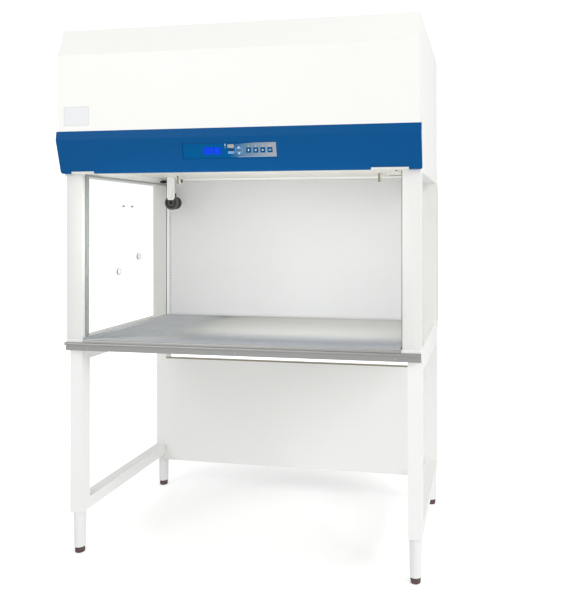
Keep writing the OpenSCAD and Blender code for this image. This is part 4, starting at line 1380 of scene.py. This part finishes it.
@dataclass
class ControlPanel:
    """The sloping control panel: printed overlay, display, keys and lights.

    Its own frame has X along the panel, Y up its slope and Z out of its face.
    """

    slope_deg: float = 90 + 14.37
    origin: tuple[float, float, float] = (mm(-7), mm(-414), mm(1560))
    down: float = mm(50.5)
    width: float = mm(349.6)
    height: float = mm(56.6)
    plate: float = mm(-2.0)
    key_front: float = mm(-1.0)
    key_back: float = mm(-9.99)
    key_size: float = mm(18)
    key_corner: float = mm(1.6)
    clearance: float = mm(0.3)
    ink: float = mm(0.05)
    sweep_left: float = mm(6)
    sweep_crest: float = mm(120)
    sweep_fall: float = mm(9)
    sweep_steps: int = 14
    foot_margin: float = mm(4.5)
    head_margin: float = mm(1.5)
    side_margin: float = mm(1)
    # Width and left end of the painted highlight along the sweep's edges.
    edge: float = mm(0.9)
    edge_left: float = mm(30)
    block_corner: float = mm(0.7)
    # Width of the painted shade line along the overlay's top and left edges.
    dark_line: float = mm(1.6)
    halo: tuple[float, float] = (mm(12.6), mm(14.2))
    display: tuple[float, float, float, float] = (mm(-62.5), 0.0, mm(67), mm(26))
    display_depth: float = mm(3)
    bar_width: float = mm(1.2)
    bar_length: float = mm(4.6)
    number: str = "045"
    number_left: float = mm(27)
    number_low: float = mm(3)
    digit_pitch: float = mm(10)
    dot_gap: float = mm(3)
    dot: float = mm(1.4)
    dot_at: Point = (mm(9.4), mm(2.2))
    level_cells: int = 9
    level_size: Point = (mm(4.6), mm(2.6))
    level_pitch: float = mm(6)
    level_at: Point = (mm(2.6), mm(8.6))
    text_lines: int = 5
    text_size: Point = (mm(16), mm(1.2))
    text_indent: float = mm(1)
    text_at: Point = (mm(19), mm(8.4))
    text_pitch: float = mm(2.7)
    mark_scale: float = 0.7
    arrow_x: float = mm(37.5)
    arrow_y: float = mm(10)
    led_y: float = mm(14.5)
    led_radius: float = mm(2.5)
    led_gap: float = mm(0.1)
    led_length: float = mm(9)
    led_rise: float = mm(0.4)
    round_steps: int = 24
    holes: list[list[Point]] = field(default_factory=list)

    def __post_init__(self) -> None:
        """Works out the panel's own frame and the cut-outs for its keys and lights."""
        self.place = (Matrix.Translation(self.origin)
                      @ Matrix.Rotation(math.radians(self.slope_deg), 4, "X")
                      @ Matrix.Translation((0, -self.down, 0)))
        x, y, w, h = self.display
        self.holes = [rectangle(w, h, (x, y))]
        for key in Key:
            grown = self.key_size + 2 * self.clearance
            self.holes.append(rectangle(grown, grown, (key.x, 0.0)))
            self.holes.append(ring_points(self.led_radius + self.led_gap, self.round_steps,
                                          centre=(key.x, self.led_y)))
        for up in (1, -1):
            self.holes.append(self.arrow(up, self.clearance))

    def arrow(self, up: int, grow: float) -> list[Point]:
        """Returns a blunt arrow head's outline.

        Args:
            up: 1 for up, -1 for down.
            grow: how far its sides move outwards.

        Returns:
            The outline, anticlockwise.
        """
        base, tip, half = mm(11) + 2 * grow, mm(3) + grow, mm(6) + grow
        shape = [(-base, -half), (base, -half), (tip, half), (-tip, half)]
        return [(self.arrow_x + up * x, up * (y + self.arrow_y)) for x, y in shape]

    def build(self) -> None:
        """Builds the panel."""
        dress("control_plate", INK_BLUE, 0, smooth_deg=SMOOTH_TURNED)
        paint("control_board", BOARD_GREEN)
        self.overlay()
        self.screen()
        self.lights()
        for key in Key:
            self.square_key(key)
        for up, node in ((1, "key_up"), (-1, "key_down")):
            self.arrow_key(up, node)

    def overlay(self) -> None:
        """Lays the printed overlay on the plate: its ground, the sweep, then the marks."""
        layers = [self.plate + i * self.ink for i in range(4)]
        bm = bmesh.new()
        inlay(bm, rectangle(self.width, self.height), self.holes, layers[0], layers[1],
              self.place)
        self.sweep(bm, *layers[1:])
        self.blocks(bm, *layers[2:])
        for start in (-45, 135):
            arc = band(*self.halo, start, 90, (self.arrow_x, 0.0))
            inlay(bm, arc, [], layers[2], layers[3], self.place, Ink.GREY.index)
        piece("overlay_print", bm, [ink.value for ink in Ink], ROOT)

    def sweep(self, bm: bmesh.types.BMesh, low: float, high: float, top: float) -> None:
        """Adds the silver sweep with its curved upper edge and a pale painted highlight along its
        lower and right edges.

        Args:
            bm: the mesh to add to.
            low: the height of the sweep's back.
            high: the height of its front.
            top: the height of the painted highlight's front.
        """
        foot, head = self.foot_margin - self.height / 2, self.height / 2 - self.head_margin
        right = self.width / 2 - self.side_margin
        outline = [(self.sweep_left, foot), (right, foot), (right, head)]
        for i in range(self.sweep_steps + 1):
            t = i / self.sweep_steps
            outline.append((self.sweep_crest - t * (self.sweep_crest - self.sweep_left),
                            head - self.sweep_fall * t * t))
        inlay(bm, outline, self.holes, low, high, self.place, Ink.SILVER.index)
        # A pale painted highlight along the sweep's lower and right edges.
        for x0, x1, y0, y1 in ((self.edge_left, right, foot, foot + self.edge),
                               (right - self.edge, right, foot + self.edge, head)):
            inlay(bm, [(x0, y0), (x1, y0), (x1, y1), (x0, y1)], [], high, top, self.place,
                  Ink.EDGE.index)

    def blocks(self, bm: bmesh.types.BMesh, low: float, high: float) -> None:
        """Adds the printed blocks beside the display, and a painted shade line along the top and
        left edges, where the recess casts its shadow.

        Args:
            bm: the mesh to add to.
            low: the height of their backs.
            high: the height of their fronts.
        """
        w, h, line = self.width, self.height, self.dark_line
        for ink, centre, size in (
                (Ink.TAN, (mm(7.5), mm(15.5)), (mm(23), mm(12))),
                (Ink.DARK, (mm(7.5), mm(1.5)), (mm(23), mm(8))),
                (Ink.SKY, (mm(7.5), mm(-7.0)), (mm(23), mm(9))),
                (Ink.WHITE, (mm(-13), mm(20)), (mm(2.2), mm(8))),
                (Ink.ORANGE, (mm(-13), mm(11)), (mm(2.6), mm(3))),
                # Painted shade: a dark line along the top and left edges, for the shadow of the
                # recess.
                (Ink.DARK, (0.0, (h - line) / 2), (w, line)),
                (Ink.DARK, ((line - w) / 2, -line / 2), (line, h - line))):
            inlay(bm, rectangle(*size, centre, self.block_corner), [], low, high, self.place,
                  ink.index)

    def screen(self) -> None:
        """Fits the display with a plain number, a level bar and five lines."""
        x, y, w, h = self.display
        bm = bmesh.new()
        shape = rectangle(w, h, (x, y))
        loft(bm, [(shape, self.plate - self.display_depth), (shape, self.plate)], self.place)
        left = x - self.number_left
        for column, digit in enumerate(self.number):
            start = left + column * self.digit_pitch + (self.dot_gap if column else 0)
            for bar in SEGMENTS[digit]:
                self.segment(bm, bar, (start, y - self.number_low))
        self.cell(bm, (self.dot, self.dot), (left + self.dot_at[0], y - self.dot_at[1]))
        for i in range(self.level_cells):
            self.cell(bm, self.level_size, (left + self.level_at[0] + i * self.level_pitch,
                                            y - self.level_at[1]))
        for i in range(self.text_lines):
            indent = self.text_indent * (i % 2)
            self.cell(bm, (self.text_size[0] - 2 * indent, self.text_size[1]),
                      (x + self.text_at[0] - indent, y + self.text_at[1] - i * self.text_pitch))
        window = piece("display_lit_window", bm, [LCD_GLOW, LCD_INK], ROOT)
        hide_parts("display_window")

    def cell(self, bm: bmesh.types.BMesh, size: Point, centre: Point) -> None:
        """Adds one lit rectangle of the display.

        Args:
            bm: the mesh to add to.
            size: its width and height.
            centre: its centre.
        """
        shape = rectangle(*size, centre)
        loft(bm, [(shape, self.plate), (shape, self.plate + self.ink)], self.place, 1)

    def segment(self, bm: bmesh.types.BMesh, bar: str, corner: Point) -> None:
        """Adds one bar of a seven-segment digit.

        Args:
            bm: the mesh to add to.
            bar: the bar's letter, a to g.
            corner: the digit's lower left corner.
        """
        cx, cy, upright = BARS[bar]
        size = (self.bar_width, self.bar_length)
        self.cell(bm, size if upright else size[::-1], (corner[0] + mm(cx), corner[1] + mm(cy)))

    def lights(self) -> None:
        """Turns the four indicator lights with domed ends."""
        low = self.plate - self.led_length
        top = self.plate + self.led_rise
        r = self.led_radius
        dome = [(r, top - self.led_rise), (r * 0.8, top - mm(0.12)), (r * 0.4, top - mm(0.02)),
                (0, top)]
        bm = bmesh.new()
        for key, colour in zip(Key, (0, 1, 1, 2)):
            turned(bm, [(0, low), (r, low), *dome],
                   self.place @ Matrix.Translation((key.x, self.led_y, 0)),
                   self.round_steps, colour)
        lamps = piece("indicator_lenses", bm, [LED_GREEN, LED_BLUE, LED_AMBER], ROOT,
                      SMOOTH_FOLDED)
        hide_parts("indicator_lights")

    def cap(self, bm: bmesh.types.BMesh, outline: Callable[[float], list[Point]]) -> None:
        """Adds a key cap with a softened rim.

        Args:
            bm: the mesh to add to.
            outline: returns the cap's outline for a given inset.
        """
        front = self.key_front
        loft(bm, [(outline(0), self.key_back), (outline(0), front - mm(0.5)),
                  (outline(mm(0.15)), front - mm(0.15)), (outline(mm(0.5)), front)], self.place)

    def square_key(self, key: Key) -> None:
        """Builds one square key with its printed mark.

        Args:
            key: which key.
        """
        size, share = self.key_size, self.mark_scale
        bm = bmesh.new()
        self.cap(bm, lambda inset: rectangle(size - 2 * inset, size - 2 * inset,
                                             (key.x, 0.0), self.key_corner))
        z0, z1 = self.key_front, self.key_front + self.ink
        for loops in self.mark(key):
            shape, *cut = [[(x * share + key.x, y * share) for x, y in loop] for loop in loops]
            inlay(bm, shape, cut, z0, z1, self.place, 1)
        obj = piece(f"{key.node}_cap", bm, [KEY_BLUE, INK_WHITE], key.node,
                    SMOOTH_CAP)
        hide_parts(key.node)

    def mark(self, key: Key) -> list[list[list[Point]]]:
        """Returns a key's mark at its full size: a lamp, three blades, a tube or a horn.

        Args:
            key: which key.

        Returns:
            The mark's shapes round the key's centre, each as its outline and any holes.
        """
        if key is Key.LIGHT:
            return [[ring_points(mm(3.6), 20, centre=(0.0, mm(1.2)))],
                    [rectangle(mm(3.0), mm(1.0), (0.0, mm(-3.2)))],
                    [rectangle(mm(2.2), mm(1.0), (0.0, mm(-4.7)))]]
        if key is Key.FAN:
            return [[band(mm(1.0), mm(5.4), start, 62, (0.0, 0.0))] for start in (10, 130, 250)]
        if key is Key.LAMP:
            return [[ring_points(mm(4.6), 24), ring_points(mm(3.4), 24)],
                    [rectangle(mm(1.1), mm(2.4), (mm(-1.3), 0.0))],
                    [rectangle(mm(1.1), mm(2.4), (mm(1.3), 0.0))]]
        horn = points_mm((-5.4, -1.4), (-3.4, -1.4), (-0.6, -3.8), (-0.6, 3.8), (-3.4, 1.4),
                         (-5.4, 1.4))
        waves = [[band(r, r + mm(1.0), -50, 100, (mm(-0.6), 0.0))] for r in (mm(2.4), mm(4.8))]
        return [[horn], *waves]

    def arrow_key(self, up: int, node: str) -> None:
        """Builds an arrow key with its bright tip.

        Args:
            up: 1 for up, -1 for down.
            node: the CAD node it replaces.
        """
        bm = bmesh.new()
        self.cap(bm, lambda inset: self.arrow(up, -inset))
        z0, z1 = self.key_front, self.key_front + self.ink
        x, y = self.arrow_x, up * self.arrow_y
        mark = points_mm((-3, -2), (3, -2), (0.5, 2), (-0.5, 2))
        inlay(bm, [(x + up * a, y + up * b) for a, b in mark], [], z0, z1, self.place, 1)
        obj = piece(f"{node}_cap", bm, [KEY_SKY, INK_WHITE], node, SMOOTH_CAP)
        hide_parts(node)


@dataclass(frozen=True)
class Softbox:
    """A rectangular area light."""

    place: tuple[float, float, float]
    aim: tuple[float, float, float]
    width: float
    height: float
    watts: float


@dataclass
class Studio:
    """Pale floor, white surround, soft boxes and the camera.

    The surround is seen at full white and lights the room at its ambient strength.
    """

    floor_half: float = 30.0
    floor_colour: str = "fbfbfb"
    surround: float = 1.25
    ambient: float = 0.61
    lift: tuple[float, float] = (0.15, 0.95)
    lift_from: tuple[float, float] = (0.45, 1.7)
    eye: tuple[float, float, float] = (0.8920, -2.5587, 1.2537)
    yaw: float = 0.1676
    lens: float = 40.91
    sensor: float = 36.0
    shift: tuple[float, float] = (-0.1656, -0.1346)
    far: float = 200.0
    lamp: Softbox = Softbox((0.0, -0.42, 1.2), (0.0, 0.3, 1.25), 1.0, 0.3, 2.3)
    boxes: tuple[Softbox, ...] = (
        Softbox((-2.5, -4.4, 3.2), (0.0, 0.0, 1.3), 3.4, 3.4, 72.0),
        Softbox((4.8, -2.2, 3.2), (0.0, 0.0, 1.4), 3.0, 3.0, 140.0),
    )

    def build(self) -> None:
        """Sets up the studio."""
        self.floor()
        self.world()
        for i, soft in enumerate(self.boxes):
            self.light(f"softbox_{i}", soft)
        self.light("work_zone_lamp", self.lamp).visible_glossy = False
        self.camera()

    def floor(self) -> None:
        """Lays the floor."""
        half = self.floor_half
        mesh = bpy.data.meshes.new("studio_floor")
        mesh.from_pydata([(-half, -half, 0), (half, -half, 0), (half, half, 0),
                          (-half, half, 0)], [], [(0, 1, 2, 3)])
        mesh.materials.append(self.paper())
        obj = bpy.data.objects.new("studio_floor", mesh)
        bpy.context.scene.collection.objects.link(obj)

    def paper(self) -> bpy.types.Material:
        """Makes the floor's white paper, lit from below towards its far edge.

        Returns:
            Its material.
        """
        mat = Finish("floor_paper", self.floor_colour, 0.9, grain_mm=8, bump_mm=0.0,
                     tint_span=0.0).material()
        tree = mat.node_tree
        shader = tree.nodes["Principled BSDF"]
        place = add_node(tree, "ShaderNodeTexCoord")
        reach = add_node(tree, "ShaderNodeVectorMath", None, {0: place.outputs["Object"]},
                         operation="LENGTH")
        glow = add_node(tree, "ShaderNodeMapRange",
                        {"From Min": self.lift_from[0], "From Max": self.lift_from[1],
                         "To Min": self.lift[0], "To Max": self.lift[1]},
                        {"Value": reach.outputs["Value"]})
        seen = add_node(tree, "ShaderNodeLightPath")
        strength = add_node(tree, "ShaderNodeMath", None,
                            {0: glow.outputs["Result"], 1: seen.outputs["Is Camera Ray"]},
                            operation="MULTIPLY")
        shader.inputs["Emission Color"].default_value = WHITE_LIGHT
        tree.links.new(strength.outputs[0], shader.inputs["Emission Strength"])
        return mat

    def world(self) -> None:
        """Sets the white surround."""
        world = bpy.data.worlds.new("studio_surround")
        world.use_nodes = True
        tree = world.node_tree
        seen = add_node(tree, "ShaderNodeLightPath")
        level = add_node(tree, "ShaderNodeMapRange",
                         {"To Min": self.ambient, "To Max": self.surround},
                         {"Value": seen.outputs["Is Camera Ray"]})
        tree.links.new(level.outputs["Result"], tree.nodes["Background"].inputs["Strength"])
        tree.nodes["Background"].inputs["Color"].default_value = WHITE_LIGHT
        bpy.context.scene.world = world
        bpy.context.scene.view_settings.view_transform = "Standard"

    def light(self, name: str, soft: Softbox) -> bpy.types.Object:
        """Adds a soft box.

        Args:
            name: the light's name.
            soft: its place, size and power.

        Returns:
            The light's object.
        """
        data = bpy.data.lights.new(name, "AREA")
        data.shape = "RECTANGLE"
        data.size, data.size_y = soft.width, soft.height
        data.energy = soft.watts
        obj = bpy.data.objects.new(name, data)
        obj.location = soft.place
        way = Vector(soft.aim) - Vector(soft.place)
        obj.rotation_euler = way.to_track_quat("-Z", "Y").to_euler()
        bpy.context.scene.collection.objects.link(obj)
        return obj

    def camera(self) -> None:
        """Places the camera, level, with its lens shifted."""
        data = bpy.data.cameras.new("camera")
        data.sensor_fit = "HORIZONTAL"
        data.sensor_width = self.sensor
        data.lens = self.lens
        data.shift_x, data.shift_y = self.shift
        data.clip_end = self.far
        data.dof.use_dof = False
        obj = bpy.data.objects.new("camera", data)
        obj.location = self.eye
        obj.rotation_euler = (math.radians(90), 0.0, self.yaw)
        bpy.context.scene.collection.objects.link(obj)
        bpy.context.scene.camera = obj


def main() -> None:
    """Builds every sub-assembly in turn, then the studio."""
    logging.basicConfig(level=logging.INFO, format="%(name)s: %(message)s")
    for part in (Stand(), Base(), WorkZone(), Header(), Fittings(), ControlPanel(), Studio()):
        log.info("building %s", type(part).__name__)
        part.build()


if __name__ == "__main__":
    main()
